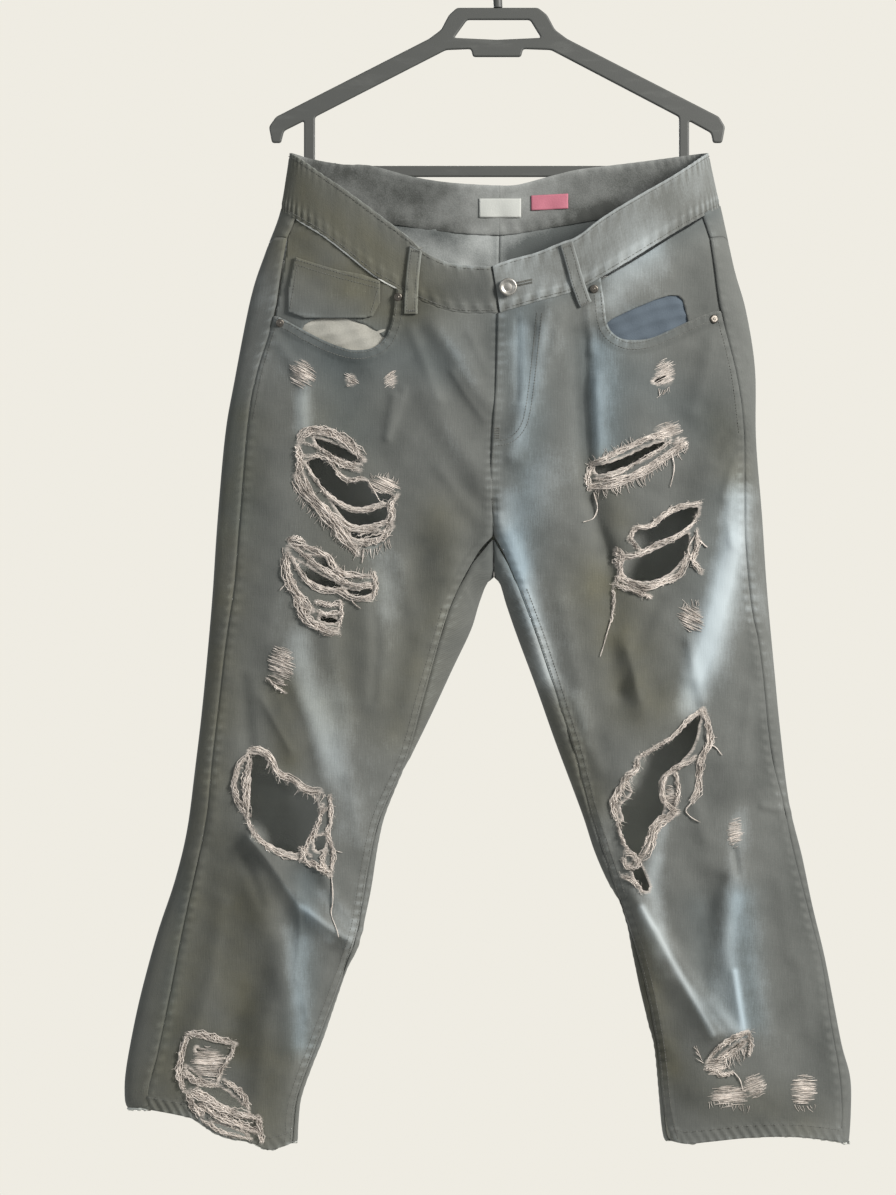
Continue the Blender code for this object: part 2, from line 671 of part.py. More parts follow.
def prism(name, outline, depths, guides):
    """A block of this outline on the sheet, between two depths."""
    block = bmesh.new()
    ring = bmesh.ops.create_circle(block, cap_ends=True, segments=len(outline), radius=1.0)
    middle = sum(depths) / 2
    for vert, (across, down) in zip(ring["verts"], outline):
        vert.co = place(across, down, middle)
        vert.co.y = depths[0] * MM
    grown = bmesh.ops.extrude_face_region(block, geom=list(block.faces))
    top = [item for item in grown["geom"] if isinstance(item, bmesh.types.BMVert)]
    bmesh.ops.translate(block, verts=top, vec=(0, (depths[1] - depths[0]) * MM, 0))
    bmesh.ops.recalc_face_normals(block, faces=list(block.faces))
    mesh = bpy.data.meshes.new(name)
    block.to_mesh(mesh)
    block.free()
    cutter = bpy.data.objects.new(name, mesh)
    cutter.hide_render = True
    cutter.display_type = "WIRE"
    guides.objects.link(cutter)
    return cutter


def front_cutter(name, outline, guides):
    down = sum(point[1] for point in outline) / len(outline)
    across = sum(point[0] for point in outline) / len(outline)
    near = front_depth(across, down)
    return prism(name, outline, (near - 25, near + 17), guides)


def skin_of(mesh):
    return BVHTree.FromPolygons([vert.co for vert in mesh.vertices],
                                [tuple(face.vertices) for face in mesh.polygons])


def touch(skins, across, down):
    """The point and normal where a look at a sheet place meets the nearest of the skins."""
    eye = place(EYE_ACROSS, EYE_DOWN, SHEET_DEPTH - VIEW_DISTANCE)
    look = (place(across, down, SHEET_DEPTH) - eye).normalized()
    hits = [hit for hit in (skin.ray_cast(eye, look) for skin in skins) if hit[0] is not None]
    if not hits:
        return touch(skins, across + SEAM_STEP, down)
    spot, normal, _, _ = min(hits, key=lambda hit: hit[3])
    return spot, normal


def draped(name, outline_point, columns, rows, skins, wall, lift, finish, home, back=False):
    """A piece that lies on skins, from a function of its two parts to a sheet place."""
    hand = 1 if back else -1

    def point(u, v):
        spot, _ = touch(skins, *outline_point(u, v))
        return spot

    mesh = grid_mesh(name, point, columns, rows, Vector((0, hand, 0)))
    obj = smooth_finish(bpy.data.objects.new(name, mesh), finish, home)
    walled(obj, wall, lift)
    return obj


def four_sided(corners):
    first, second, third, fourth = (np.array(corner, float) for corner in corners)

    def point(u, v):
        return (1 - v) * ((1 - u) * first + u * fourth) + v * ((1 - u) * second + u * third)

    return point


def strap(route, width):
    route = rounded(route, 3)

    def point(u, v):
        across, down = along(route, v)
        ahead = along(route, min(1, v + 0.05)) - along(route, max(0, v - 0.05))
        square = np.array((ahead[1], -ahead[0])) / np.linalg.norm(ahead)
        return np.array((across, down)) + square * width * (0.5 - u)

    return point


def front_panels(finish, home, guides):
    skins = {}
    for side in SIDES:
        name = f"front_panel_{side}"
        mesh = grid_mesh(name, front_point(side), FRONT_COLUMNS, ROWS, Vector((0, -1, 0)))
        skins[side] = skin_of(mesh)
        panel = smooth_finish(bpy.data.objects.new(name, mesh), finish, home)
        walled(panel, CLOTH)
        mouth = prism(f"mouth_{side}", POCKET_MOUTH[side], (-140, 0), guides)
        trimmed(panel, mouth, "DIFFERENCE")
        for number, outline in enumerate(RIPS[side], 1):
            trimmed(panel, front_cutter(f"rip_{side}_{number}", outline, guides), "DIFFERENCE")
    return skins


def back_panels(finish, home):
    skins = {}
    for side in SIDES:
        point = BackRows(side)
        for name, rows, span in ((f"yoke_{side}", 3, (0, 1, 0, 1 / ROWS)),
                                 (f"back_panel_{side}", ROWS - 1, (0, 1, 1 / ROWS, 1))):
            gap = PANEL_MARGIN / PANEL_LENGTH
            inset = (0, 1, span[2], span[3] - gap) if "yoke" in name else (0, 1, span[2] + gap, span[3])
            mesh = grid_mesh(name, point, BACK_COLUMNS, rows, Vector((0, 1, 0)), inset)
            skins[name] = skin_of(mesh)
            obj = smooth_finish(bpy.data.objects.new(name, mesh), finish, home)
            walled(obj, CLOTH).use_even_offset = False
    return skins


def waistbands(finish, home):
    skins = {}
    for side in SIDES:
        name = f"waistband_{side}"
        mesh = grid_mesh(name, band_point(side), 26, 2, Vector((0, -1, 0)))
        skins[side] = skin_of(mesh)
        band = smooth_finish(bpy.data.objects.new(name, mesh), finish, home)
        walled(band, BAND_WALL, BAND_PROUD)
    return skins


def pocket_pieces(denim, cotton, home, guides):
    """Facings, bags and the coin pocket: the front panel's own points, each moved in."""
    spans = {RIGHT: (0, 9 / 13, 0, 7 / ROWS), LEFT: (0, 8 / 13, 0, 7 / ROWS)}
    for side in SIDES:
        layers = ((f"pocket_facing_{side}", FACING_OUTLINE[side], CLOTH, CLOTH, denim),
                  (f"pocket_bag_{side}", BAG_OUTLINE[side], COTTON, 2 * CLOTH + SEAM_GAP, cotton))
        for name, outline, wall, below, finish in layers:
            add_layer(name, side, spans[side], outline, wall, -below - SEAM_GAP, finish, home, guides)
    add_layer("coin_pocket", RIGHT, spans[RIGHT], COIN_POCKET, CLOTH, 0.0, denim, home, guides)


def add_layer(name, side, span, outline, wall, lift, finish, home, guides):
    columns = round((span[1] - span[0]) * FRONT_COLUMNS)
    rows = round((span[3] - span[2]) * ROWS)
    mesh = grid_mesh(name, front_point(side), columns, rows, Vector((0, -1, 0)), span)
    obj = smooth_finish(bpy.data.objects.new(name, mesh), finish, home)
    walled(obj, wall, lift)
    trimmed(obj, prism(f"trim_{name}", outline, (-140, 0), guides), "INTERSECT")
    return obj


def sewn_pieces(front, back, bands, home):
    denim = material("denim_sewn_on", DENIM)
    fronts = [front[RIGHT], front[LEFT], bands[RIGHT], bands[LEFT]]
    behind = [*back.values(), bands[RIGHT], bands[LEFT]]
    loop_lift = BAND_PROUD + SEAM_GAP + LOOP_WALL + 0.4
    for side in SIDES:
        draped(f"belt_loop_front_{side}", strap(FRONT_LOOPS[side], LOOP_WIDTH), 2, 6, fronts,
               LOOP_WALL, loop_lift, denim, home)
        draped(f"back_pocket_{side}", pocket_outline(BACK_POCKET[side]), 6, 6, list(back.values()),
               CLOTH, POCKET_LIFT + CLOTH, denim, home, back=True)
    draped("belt_loop_centre", strap(CENTRE_LOOP, LOOP_WIDTH), 2, 6, behind,
           LOOP_WALL, loop_lift, denim, home, back=True)
    draped("fly_shield", four_sided(FLY_SHIELD), 3, 7, fronts, CLOTH,
           -(BAND_WALL - BAND_PROUD) - 1.0, denim, home)


def pocket_outline(corners):
    """A five-cornered pocket: straight top and sides, its foot drawn down to the middle corner."""
    left_top, right_top, right_foot, point, left_foot = (np.array(corner, float) for corner in corners)

    def place_of(u, v):
        middle_share = 1 - abs(2 * u - 1)
        drop = point - (left_foot + right_foot) / 2
        top = left_top + (right_top - left_top) * u
        foot = left_foot + (right_foot - left_foot) * u + drop * middle_share
        return top + (foot - top) * v

    return place_of


def labels(bands, home):
    finishes = {"label_white": material("label_white", WHITE_LABEL),
                "label_pink": material("label_pink", PINK_LABEL)}
    skins = [bands[RIGHT], bands[LEFT]]
    inner_face = BAND_WALL - BAND_PROUD + LABEL_WALL + SEAM_GAP + 0.1
    for name, corners in LABELS.items():
        outline = four_sided(corners)

        def point(u, v, outline=outline):
            across, down = outline(u, v)
            place_behind = place(across, down, BACK_PLANE)
            spot, _, _, _ = min((skin.find_nearest(place_behind) for skin in skins),
                                key=lambda hit: hit[3])
            return spot

        mesh = grid_mesh(name, point, 4, 2, Vector((0, -1, 0)))
        obj = smooth_finish(bpy.data.objects.new(name, mesh), finishes[name], home)
        walled(obj, LABEL_WALL, inner_face)


def rear_face(skin, across, height):
    """The depth at which a strap, laid straight across here, meets the back of a skin."""
    half = LOOP_WIDTH / 2 * MM
    ahead = Vector((0, -1, 0))
    casts = [skin.ray_cast(Vector((across + shift, 1, height)), ahead) for shift in (-half, 0, half)]
    return max(spot.y for spot, _, _, _ in casts if spot is not None)


def rear_loops(bands, home):
    """Two loops of the waistband that stand off it, round the hanger's lower bar."""
    finish = material("denim_loop", DENIM)
    clear = SEAM_GAP
    for side in SIDES:
        across = REAR_LOOPS[side]
        edge = place(across, BAR_DOWN[0] - clear, 0)
        foot = place(across, REAR_LOOP_DOWN, 0)
        skin = bands[side]
        top_face = rear_face(skin, edge.x, edge.z - 3 * MM)
        foot_face = rear_face(skin, foot.x, foot.z)
        near = (BAND_PROUD + 2 * clear) * MM
        back = HANGER_BACK * MM + clear * MM
        wall = LOOP_WALL * MM
        profile = ((top_face + near, edge.z), (back, edge.z), (back, foot.z + wall),
                   (foot_face + near, foot.z + wall), (foot_face + near, foot.z),
                   (back + wall, foot.z), (back + wall, edge.z + wall), (top_face + near, edge.z + wall))
        strip = bmesh.new()
        ring = bmesh.ops.create_circle(strip, cap_ends=True, segments=len(profile), radius=1.0)
        for vert, (depth, height) in zip(ring["verts"], profile):
            vert.co = (edge.x - LOOP_WIDTH / 2 * MM, depth, height)
        grown = bmesh.ops.extrude_face_region(strip, geom=list(strip.faces))
        far = [item for item in grown["geom"] if isinstance(item, bmesh.types.BMVert)]
        bmesh.ops.translate(strip, verts=far, vec=(LOOP_WIDTH * MM, 0, 0))
        bmesh.ops.recalc_face_normals(strip, faces=list(strip.faces))
        name = f"belt_loop_rear_{side}"
        mesh = bpy.data.meshes.new(name)
        strip.to_mesh(mesh)
        strip.free()
        smooth_finish(bpy.data.objects.new(name, mesh), finish, home)


def turned(name, profile, spot, normal, finish, home, steps=14):
    """A round piece from a profile of (radius, height), standing on a spot along a normal."""
    mesh = bpy.data.meshes.new(name)
    line = bmesh.new()
    verts = [line.verts.new((radius * MM, 0, height * MM)) for radius, height in profile]
    for first, second in zip(verts, verts[1:]):
        line.edges.new((first, second))
    line.to_mesh(mesh)
    line.free()
    mesh.materials.append(finish)
    obj = bpy.data.objects.new(name, mesh)
    screw = obj.modifiers.new("Turn", "SCREW")
    screw.steps = steps
    screw.render_steps = steps
    screw.use_merge_vertices = True
    screw.merge_threshold = 0.00001
    screw.use_smooth_shade = False
    obj.location = spot
    obj.rotation_euler = normal.to_track_quat("Z", "Y").to_euler()
    home.objects.link(obj)
    return obj


def metal_pieces(front, bands, home):
    finish = material("aged_metal", METAL, 0.45, 1.0)
    spot, normal = touch([bands[LEFT]], *BUTTON)
    foot = BAND_PROUD + SEAM_GAP + 0.2
    radius = BUTTON_RADIUS
    profile = ((0, foot + 4.6), (radius * 0.62, foot + 4.6), (radius * 0.8, foot + 5.4),
               (radius, foot + 4.8), (radius, foot + 3.4), (radius * 0.4, foot + 2.8),
               (radius * 0.4, foot), (0, foot))
    turned("button", profile, spot, normal, finish, home)
    for number, place_of in enumerate(RIVETS, 1):
        side = RIGHT if place_of[0] < CROTCH_ACROSS else LEFT
        spot, normal = touch([front[side]], *place_of)
        foot = SEAM_GAP + 0.5
        profile = ((0, foot + 1.3), (RIVET_RADIUS * 0.6, foot + 1.1), (RIVET_RADIUS, foot), (0, foot))
        turned(f"rivet_{number}", profile, spot, normal, finish, home, steps=10)


def flat_frame(name, outlines, finish, home):
    """A moulded plate: the first outline is its edge and the others are its windows."""
    curve = bpy.data.curves.new(name, "CURVE")
    curve.dimensions = "2D"
    curve.fill_mode = "BOTH"
    edge = 0.8 * MM
    curve.extrude = HANGER_BACK * MM - edge
    curve.bevel_depth = edge
    curve.bevel_resolution = 0
    curve.offset = -edge
    for outline in outlines:
        spline = curve.splines.new("POLY")
        spline.points.add(len(outline) - 1)
        spline.use_cyclic_u = True
        for point, (across, down) in zip(spline.points, outline):
            spot = place(across, down, 0)
            point.co = (spot.x, spot.z, 0, 1)
    curve.materials.append(finish)
    obj = bpy.data.objects.new(name, curve)
    obj.rotation_euler.x = math.pi / 2
    home.objects.link(obj)
    return obj


def hook(finish, home):
    """The hook: a neck that sways aside and comes round over the rail."""
    curve = bpy.data.curves.new("hanger_hook", "CURVE")
    curve.dimensions = "3D"
    curve.bevel_depth = HOOK_RADIUS * MM
    curve.bevel_resolution = 1
    curve.use_fill_caps = True
    reach = (HOOK_INNER + HOOK_RADIUS) * MM
    neck = place(NECK_ACROSS, NECK_DOWN, 0)
    centre_height = -HOOK_INNER * MM
    turns = [math.radians(angle) for angle in range(-48, 205, 14)]
    bow = [(reach * math.cos(turn), centre_height + reach * math.sin(turn)) for turn in turns]
    rise = [(neck.x, neck.z), (neck.x, neck.z + 12 * MM), (neck.x + 5 * MM, neck.z + 20 * MM)]
    spline = curve.splines.new("POLY")
    route = rise + bow
    spline.points.add(len(route) - 1)
    for point, (across, height) in zip(spline.points, route):
        point.co = (across, 0, height, 1)
    curve.materials.append(finish)
    obj = bpy.data.objects.new("hanger_hook", curve)
    home.objects.link(obj)
    return obj


def hanger(home):
    finish = material("moulded_plastic", PLASTIC, 0.5)
    flat_frame("hanger_frame", (HANGER_OUTLINE, HANDLE_WINDOW, HANGER_WINDOW), finish, home)
    hook(finish, home)


def fray(name, root, reach, count, skin, finish, home):
    """A narrow strip on the cloth's edge with strands that hang from every second length."""
    route = rounded(root, 4)

    def place_on(across, down, lift):
        spot, normal = touch([skin], across, down)
        return spot + normal * lift * MM

    def point(u, v):
        across, down = along(route, u)
        return place_on(across, down - FRAY_STRIP * (1 - v), FRAY_LIFT)

    comb = bmesh.new()
    bmesh.ops.create_grid(comb, x_segments=2 * count, y_segments=1, size=0.5)
    for vert in comb.verts:
        vert.co = point(vert.co.x + 0.5, vert.co.y + 0.5)
    comb.normal_update()
    if sum((face.normal for face in comb.faces), Vector()).y > 0:
        bmesh.ops.reverse_faces(comb, faces=comb.faces)
    grown = bmesh.ops.extrude_face_region(comb, geom=list(comb.faces))
    for item in grown["geom"]:
        if isinstance(item, bmesh.types.BMVert):
            item.co.y -= FRAY_WALL * MM
    bmesh.ops.recalc_face_normals(comb, faces=list(comb.faces))
    comb.normal_update()
    lower = sorted((face for face in comb.faces if abs(face.normal.y) < 0.6 and face.normal.z < -0.3),
                   key=lambda face: face.calc_center_median().x)
    lower = [face for face in lower if abs(face.normal.x) < 0.9][1::2]
    for number, face in enumerate(lower):
        grow_strand(comb, face, number, reach)
    mesh = bpy.data.meshes.new(name)
    comb.to_mesh(mesh)
    comb.free()
    return smooth_finish(bpy.data.objects.new(name, mesh), finish, home)


def grow_strand(comb, face, number, reach):
    """Draws one strand out of a side face of the strip, in one or two tapering lengths."""
    sway = math.sin(2.4 * number)
    length = 1 + 0.25 * math.sin(1.7 * number + 1)
    across = (reach[0] + 2.0 * sway) * length
    down = reach[1] * length
    lengths = 2 if math.hypot(across, down) > 16 else 1
    for part in range(lengths):
        grown = bmesh.ops.extrude_discrete_faces(comb, faces=[face])
        face = grown["faces"][0]
        middle = face.calc_center_median()
        for vert in face.verts:
            vert.co = middle + (vert.co - middle) * (0.42 if part == 0 else 0.85)
        drift = Vector((across * (1 if part else 0.8), -1.5 - 0.8 * part, -down)) * MM / lengths
        bmesh.ops.translate(comb, verts=face.verts, vec=drift)


def frays(front, finish, home):
    for name, (side, root, reach, count) in FRAYS.items():
        fray(name, root, reach, count, front[side], finish, home)


def main():
    clear_scene()
    home = collection("ripped_jeans")
    guides = collection("guides")
    denim = material("denim", DENIM)
    cotton = material("cotton", COTTON_COLOUR)
    front = front_panels(denim, home, guides)
    back = back_panels(denim, home)
    bands = waistbands(denim, home)
    pocket_pieces(denim, cotton, home, guides)
    sewn_pieces(front, back, bands, home)
    labels(bands, home)
    rear_loops(bands, home)
    metal_pieces(front, bands, home)
    hanger(home)
    frays(front, material("frayed_thread", FRAY_COLOUR), home)


main()
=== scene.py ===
"""Looks of a pair of ripped jeans on a clothes hanger: cloth, stitching, frayed threads and studio.

Places are given on a layout sheet in millimetres, across from its left edge and down from its top
edge, as the garment is seen from the front; spot() carries them to metres. Depth runs along Y, with
the front of the garment towards -Y. Sides are the wearer's, so the right side lies towards -X.
"""

import math
import random

import bmesh
import bpy
import numpy as np
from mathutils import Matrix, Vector
from mathutils.bvhtree import BVHTree


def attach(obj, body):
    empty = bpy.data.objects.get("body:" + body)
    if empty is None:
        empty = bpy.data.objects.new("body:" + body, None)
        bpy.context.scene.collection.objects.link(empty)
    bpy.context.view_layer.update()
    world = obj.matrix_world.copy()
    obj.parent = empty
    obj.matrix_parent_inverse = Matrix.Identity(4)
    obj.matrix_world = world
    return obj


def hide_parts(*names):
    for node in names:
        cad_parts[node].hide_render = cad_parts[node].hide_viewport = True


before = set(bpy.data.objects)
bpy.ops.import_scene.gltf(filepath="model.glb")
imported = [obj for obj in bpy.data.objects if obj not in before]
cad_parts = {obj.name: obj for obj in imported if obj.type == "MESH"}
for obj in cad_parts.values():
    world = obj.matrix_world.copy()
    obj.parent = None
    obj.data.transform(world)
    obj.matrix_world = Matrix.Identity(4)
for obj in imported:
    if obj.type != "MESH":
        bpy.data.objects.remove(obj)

bl_info = {
    "name": "Ripped Jeans on a Hanger",
    "version": (1, 0, 0),
    "blender": (4, 5, 0),
    "location": "View3D > Sidebar > Jeans",
    "description": "Makes the cloth, stitching, frayed threads, metal and hanger of ripped jeans",
    "category": "Object",
}

MM = 0.001
RIGHT = "right"
LEFT = "left"
SIDES = (RIGHT, LEFT)

# The layout sheet
CENTRE_LINE = 497.0
RAIL_ABOVE_SHEET = 60.0
VIEW_DISTANCE = 2500.0
SHEET_DEPTH = -30.0
EYE_ACROSS = 448.0
EYE_DOWN = 597.5
IMAGE_HIGH = 1.195
SENSOR = 36.0

# The flattened tube of the garment: down, and then a depth or a power
BACK_PLANE = -4.0
TUBE_DEPTH = ((150, 76), (230, 76), (310, 70), (420, 63), (560, 56), (700, 52), (860, 50), (1150, 48))
FRONT_ROUND = ((150, 2.1), (320, 2.3), (600, 2.6), (1150, 2.5))
BACK_ROUND = 4.5
THIGH_SPLIT = (455.0, 600.0)
CROTCH_ACROSS = 494.0
CROTCH_LOW = 577.0
CROTCH_CURL = ((570.0, 9.0), (577.0, 26.0))
CROTCH_DIP = 46.0
DIP_ROWS_ABOVE = 2.6
DIP_ROWS_BELOW = 8.0
DIP_TO_ONE = 9.48
SEAT_END_DOWN = 556.0
CROTCH_ROW_DOWN = 560.0
YOKE_SIDE_DOWN = 240.0
YOKE_CENTRE_DOWN = 300.0
ROWS_TOP = 11
ROWS_LEG = 22
ROWS = ROWS_TOP + ROWS_LEG
ROW_SAMPLES = 121
LEG_START_ROW = ROWS_TOP - 4
LEG_BLEND_ROWS = 4.5
BEHIND_FADE = 12.0
FLY_STEP = 1.45
FLY_OUTER_EDGE = 540.0
FLY_OUTER_FADE = 30.0
FLY_LOW_END = 480.0
FLY_LOW_FADE = 25.0
OVERLAP_END = 492.0
UNDER_RUN = 9.0
BAND_END_SLANT = 7.5
BAND_TUCK = 3.4
BAND_RUN = 430
BAND_HIGH = 46


def pairs(*numbers):
    """Places from plain numbers: across, down, across, down and so on."""
    return tuple(zip(numbers[::2], numbers[1::2]))


def outlines(*rows):
    return tuple(pairs(*row) for row in rows)


def routes(*rows):
    """Strokes from rows of a height or strength, a half width and the places of a route."""
    return tuple((pairs(*places), height, width) for height, width, *places in rows)


OUTER_EDGE = {
    RIGHT: pairs(290, 153, 281, 209, 266, 251, 251, 297, 234, 383, 225, 436, 217, 526, 212, 601, 203, 700,
        195, 769, 187, 830, 175, 880, 159, 928, 147, 970, 136, 1015, 126, 1069, 125, 1096, 131, 1112),
    LEFT: pairs(708, 153, 720, 204, 726, 231, 735, 272, 746, 311, 755, 369, 756, 440, 762, 515, 767, 590,
        775, 677, 780, 728, 789, 802, 802, 856, 812, 904, 824, 954, 834, 1005, 842, 1046, 850, 1076,
        851, 1106, 848, 1146),
}
SIDE_SEAM = {
    RIGHT: pairs(295, 219, 284, 247, 274, 315, 257, 372, 248, 419, 239, 526, 234, 586, 226, 640, 219, 700,
        211, 769, 205, 826, 184, 922, 171, 988, 156, 1060, 148, 1087, 145, 1109),
    LEFT: pairs(703, 217, 712, 244, 721, 311, 736, 372, 744, 433, 745, 533, 751, 604, 758, 640, 763, 677,
        771, 752, 783, 802, 793, 850, 810, 917, 822, 964, 830, 1019, 840, 1080, 843, 1143),
}
INNER_EDGE = {
    RIGHT: pairs(494, 577, 487, 584, 479, 604, 471, 630, 453, 668, 434, 709, 412, 754, 402, 772, 385, 814,
        378, 844, 370, 895, 357, 949, 345, 973, 324, 1036, 312, 1066, 300, 1102, 297, 1142),
    LEFT: pairs(494, 577, 500, 584, 506, 604, 517, 636, 536, 687, 555, 741, 573, 789, 584, 819, 594, 850,
        607, 880, 624, 910, 633, 954, 639, 985, 648, 1022, 655, 1049, 661, 1113, 666, 1140),
}
INSEAM = {
    RIGHT: pairs(493.6, 535, 476, 556, 449, 610, 425, 693, 407, 757, 380, 818, 368, 870, 355, 940,
        322, 1030, 297, 1098, 292, 1143),
    LEFT: pairs(493.7, 535, 505, 556, 520, 591, 539, 642, 559, 703, 575, 754, 590, 812, 614, 884, 639, 960,
        656, 1040, 664, 1110, 671, 1141),
}
HEM = {
    RIGHT: pairs(145, 1109, 177, 1115, 195, 1120, 212, 1132, 231, 1139, 252, 1143, 267, 1150, 282, 1147,
        292, 1143),
    LEFT: pairs(671, 1141, 687, 1144, 709, 1142, 749, 1138, 790, 1137, 824, 1140, 843, 1143),
}
CENTRE_FRONT = {
    RIGHT: pairs(500.5, 313, 498.5, 391, 495.5, 423, 492.4, 480, 493.6, 535),
    LEFT: pairs(497.6, 313, 495.6, 391, 493, 423, 490.8, 480, 493.7, 535),
}
WAIST_SEAM = {
    RIGHT: pairs(282, 211, 296, 219, 322, 234, 347, 253, 373, 274, 394, 286, 420, 300, 456, 312, 499, 313),
    LEFT: pairs(499, 313, 539, 301, 575, 291, 605, 275, 632, 259, 656, 244, 689, 224, 719, 208),
}
BAND_TOP_FRONT = {
    RIGHT: pairs(290, 153, 299, 158, 322, 174, 347, 191, 373, 210, 408, 237, 423, 251, 446, 262, 473, 266,
        497, 266),
    LEFT: pairs(492, 266, 512, 259, 535, 253, 560, 243, 578, 236, 603, 217, 639, 195, 674, 175, 708, 153),
}
BAND_TOP_BACK = pairs(290, 153, 314, 160, 343, 165, 370, 166, 408, 176, 434, 181, 461, 184, 499, 186,
        519, 185, 549, 177, 578, 170, 610, 166, 651, 161, 708, 153)
BAND_SEAM_BACK = pairs(282, 211, 340, 217, 396, 225, 446, 232, 499, 235, 534, 231, 563, 226, 620, 217,
        719, 208)
CENTRE_BACK, CENTRE_BACK_DOWN = BAND_SEAM_BACK[4]
POCKET_MOUTH = {
    RIGHT: pairs(240, 200, 240, 308, 276, 316, 296, 326, 315, 336, 335, 345, 353, 350, 372, 348, 385, 338,
        392, 320, 395, 298, 398, 270, 398, 200),
    LEFT: pairs(598, 200, 600, 270, 604, 300, 608, 326, 620, 338, 636, 340, 651, 338, 668, 331, 685, 323,
        703, 315, 718, 311, 760, 306, 760, 200),
}

# Folds: height out of the cloth (negative is a trough), half width and route
MAIN_FOLDS = routes(
    (5, 13, 437, 326, 466, 369, 487, 401), (5, 15, 426, 390, 466, 454, 484, 483),
    (5, 17, 366, 590, 374, 640, 372, 700), (-7, 24, 262, 672, 275, 760),
    (7, 15, 255, 842, 298, 905, 351, 942), (6, 15, 252, 880, 276, 940, 294, 1045),
    (-5, 16, 300, 905, 262, 960, 238, 1020), (-6, 12, 586, 335, 583, 390, 586, 460, 606, 551),
    (5, 13, 549, 311, 537, 354, 514, 454), (4, 13, 716, 352, 708, 380, 696, 411),
    (5.5, 14, 742, 533, 724, 586, 703, 640, 692, 676), (5, 13, 624, 640, 641, 708),
    (-4, 14, 606, 560, 618, 690), (6.5, 15, 634, 897, 671, 975, 722, 1032),
    (6, 15, 736, 877, 726, 944, 746, 1029), (-4, 14, 700, 880, 712, 950))
FINE_FOLDS = routes(
    (2.2, 5, 394, 397, 387, 436), (1.8, 6, 412, 330, 428, 372, 440, 400), (2.2, 7, 303, 372, 304, 426),
    (1.6, 6, 276, 340, 300, 372), (1.2, 5, 470, 335, 488, 372), (1.6, 7, 440, 470, 478, 520),
    (-2, 6, 373, 586, 377, 650, 373, 700), (2, 10, 330, 640, 348, 720, 342, 752),
    (-2.6, 9, 288, 693, 306, 740, 312, 778), (-2.6, 7, 243, 680, 250, 748),
    (2, 10, 400, 560, 420, 640, 408, 710), (1.6, 8, 455, 560, 432, 640),
    (2.4, 5, 250, 838, 276, 868, 312, 912, 356, 944), (-2, 6, 245, 860, 262, 905),
    (2.2, 6, 316, 860, 336, 900, 360, 930), (2, 9, 198, 860, 190, 930, 172, 1010),
    (1.6, 8, 222, 900, 212, 980, 190, 1050), (2, 9, 270, 1010, 258, 1080, 262, 1130),
    (1.8, 7, 330, 960, 306, 1030, 288, 1090), (1.8, 8, 350, 780, 362, 850), (1.4, 6, 220, 780, 212, 830),
    (2.6, 6, 589, 311, 590, 350), (2.4, 7, 597, 380, 600, 452), (-2.4, 5, 589, 500, 600, 530, 612, 556),
    (1.6, 5, 562, 318, 556, 352), (-1.6, 5, 534, 330, 528, 400), (-1.4, 3, 517, 320, 517, 400),
    (3, 8, 499, 519, 517, 561, 531, 622, 546, 676), (1.6, 9, 560, 590, 574, 660, 588, 724),
    (2.4, 5, 735, 461, 724, 497), (-1.6, 5, 728, 434, 716, 456), (2, 6, 688, 640, 702, 701),
    (-1.8, 8, 658, 600, 640, 640, 622, 690), (1.8, 7, 752, 690, 744, 760), (1.6, 7, 690, 780, 704, 838),
    (-2.2, 3.5, 734, 850, 738, 873), (2, 4, 763, 806, 790, 812), (-2, 8, 720, 880, 700, 930, 704, 990),
    (1.6, 9, 780, 880, 792, 960), (2, 5, 660, 930, 700, 990, 738, 1036), (1.6, 8, 748, 960, 770, 1030),
    (1.6, 7, 652, 990, 668, 1050), (1.4, 8, 800, 960, 812, 1040), (1.6, 6, 600, 800, 606, 850),
    (1.8, 8, 576, 700, 600, 770), (-1.4, 7, 446, 640, 420, 720, 398, 770))
CREASE_GAIN = 1.5
CREASE_ROUND = 1.2
SHARP_FOLDS = routes(
    (3.6, 7, 642, 908, 658, 938, 678, 972, 713, 1034), (2.6, 6, 734, 972, 738, 1000, 743, 1029),
    (3.2, 7, 250, 838, 272, 866, 298, 905, 330, 930, 351, 942), (2.2, 6, 262, 700, 290, 750),
    (2.6, 6, 744, 470, 732, 492, 728, 520, 732, 545), (1.8, 6, 484, 420, 466, 395, 452, 372),
    (2, 5, 404, 390, 398, 412, 388, 440), (-2.4, 5, 586, 340, 584, 400, 590, 470),
    (2, 6, 300, 980, 308, 1020), (2.2, 6, 296, 880, 300, 930, 296, 980),
    (2, 8, 704, 700, 714, 660, 726, 620), (2, 6, 628, 650, 640, 700),
    (1.8, 6, 556, 330, 546, 372, 530, 410), (1.6, 8, 352, 930, 330, 990))
BACK_FOLDS = routes(
    (5, 18, 300, 560, 400, 585, 470, 560), (5, 18, 720, 560, 610, 588, 520, 560),
    (5, 18, 240, 800, 300, 825, 380, 800), (5, 18, 770, 800, 700, 828, 610, 800),
    (4, 16, 240, 860, 290, 900, 340, 960), (4, 16, 770, 860, 720, 900, 670, 960))
FINE_BACK_FOLDS = routes(
    (-2.4, 8, 330, 540, 390, 556, 450, 540), (-2.4, 8, 668, 540, 600, 556, 545, 540),
    (2.4, 9, 280, 610, 330, 625, 392, 612), (2.4, 9, 722, 610, 668, 626, 604, 612),
    (2.6, 9, 250, 770, 310, 792, 372, 776), (2.6, 9, 752, 770, 692, 794, 632, 776),
    (-2.4, 8, 236, 838, 300, 852, 352, 838), (-2.4, 8, 772, 838, 708, 854, 648, 838),
    (2.2, 11, 300, 880, 270, 950, 262, 1040), (2.2, 11, 706, 880, 738, 950, 748, 1040),
    (2, 12, 400, 420, 430, 480, 446, 530), (2, 12, 596, 420, 566, 480, 548, 530),
    (2, 9, 320, 960, 296, 1050), (2, 9, 680, 960, 704, 1050))


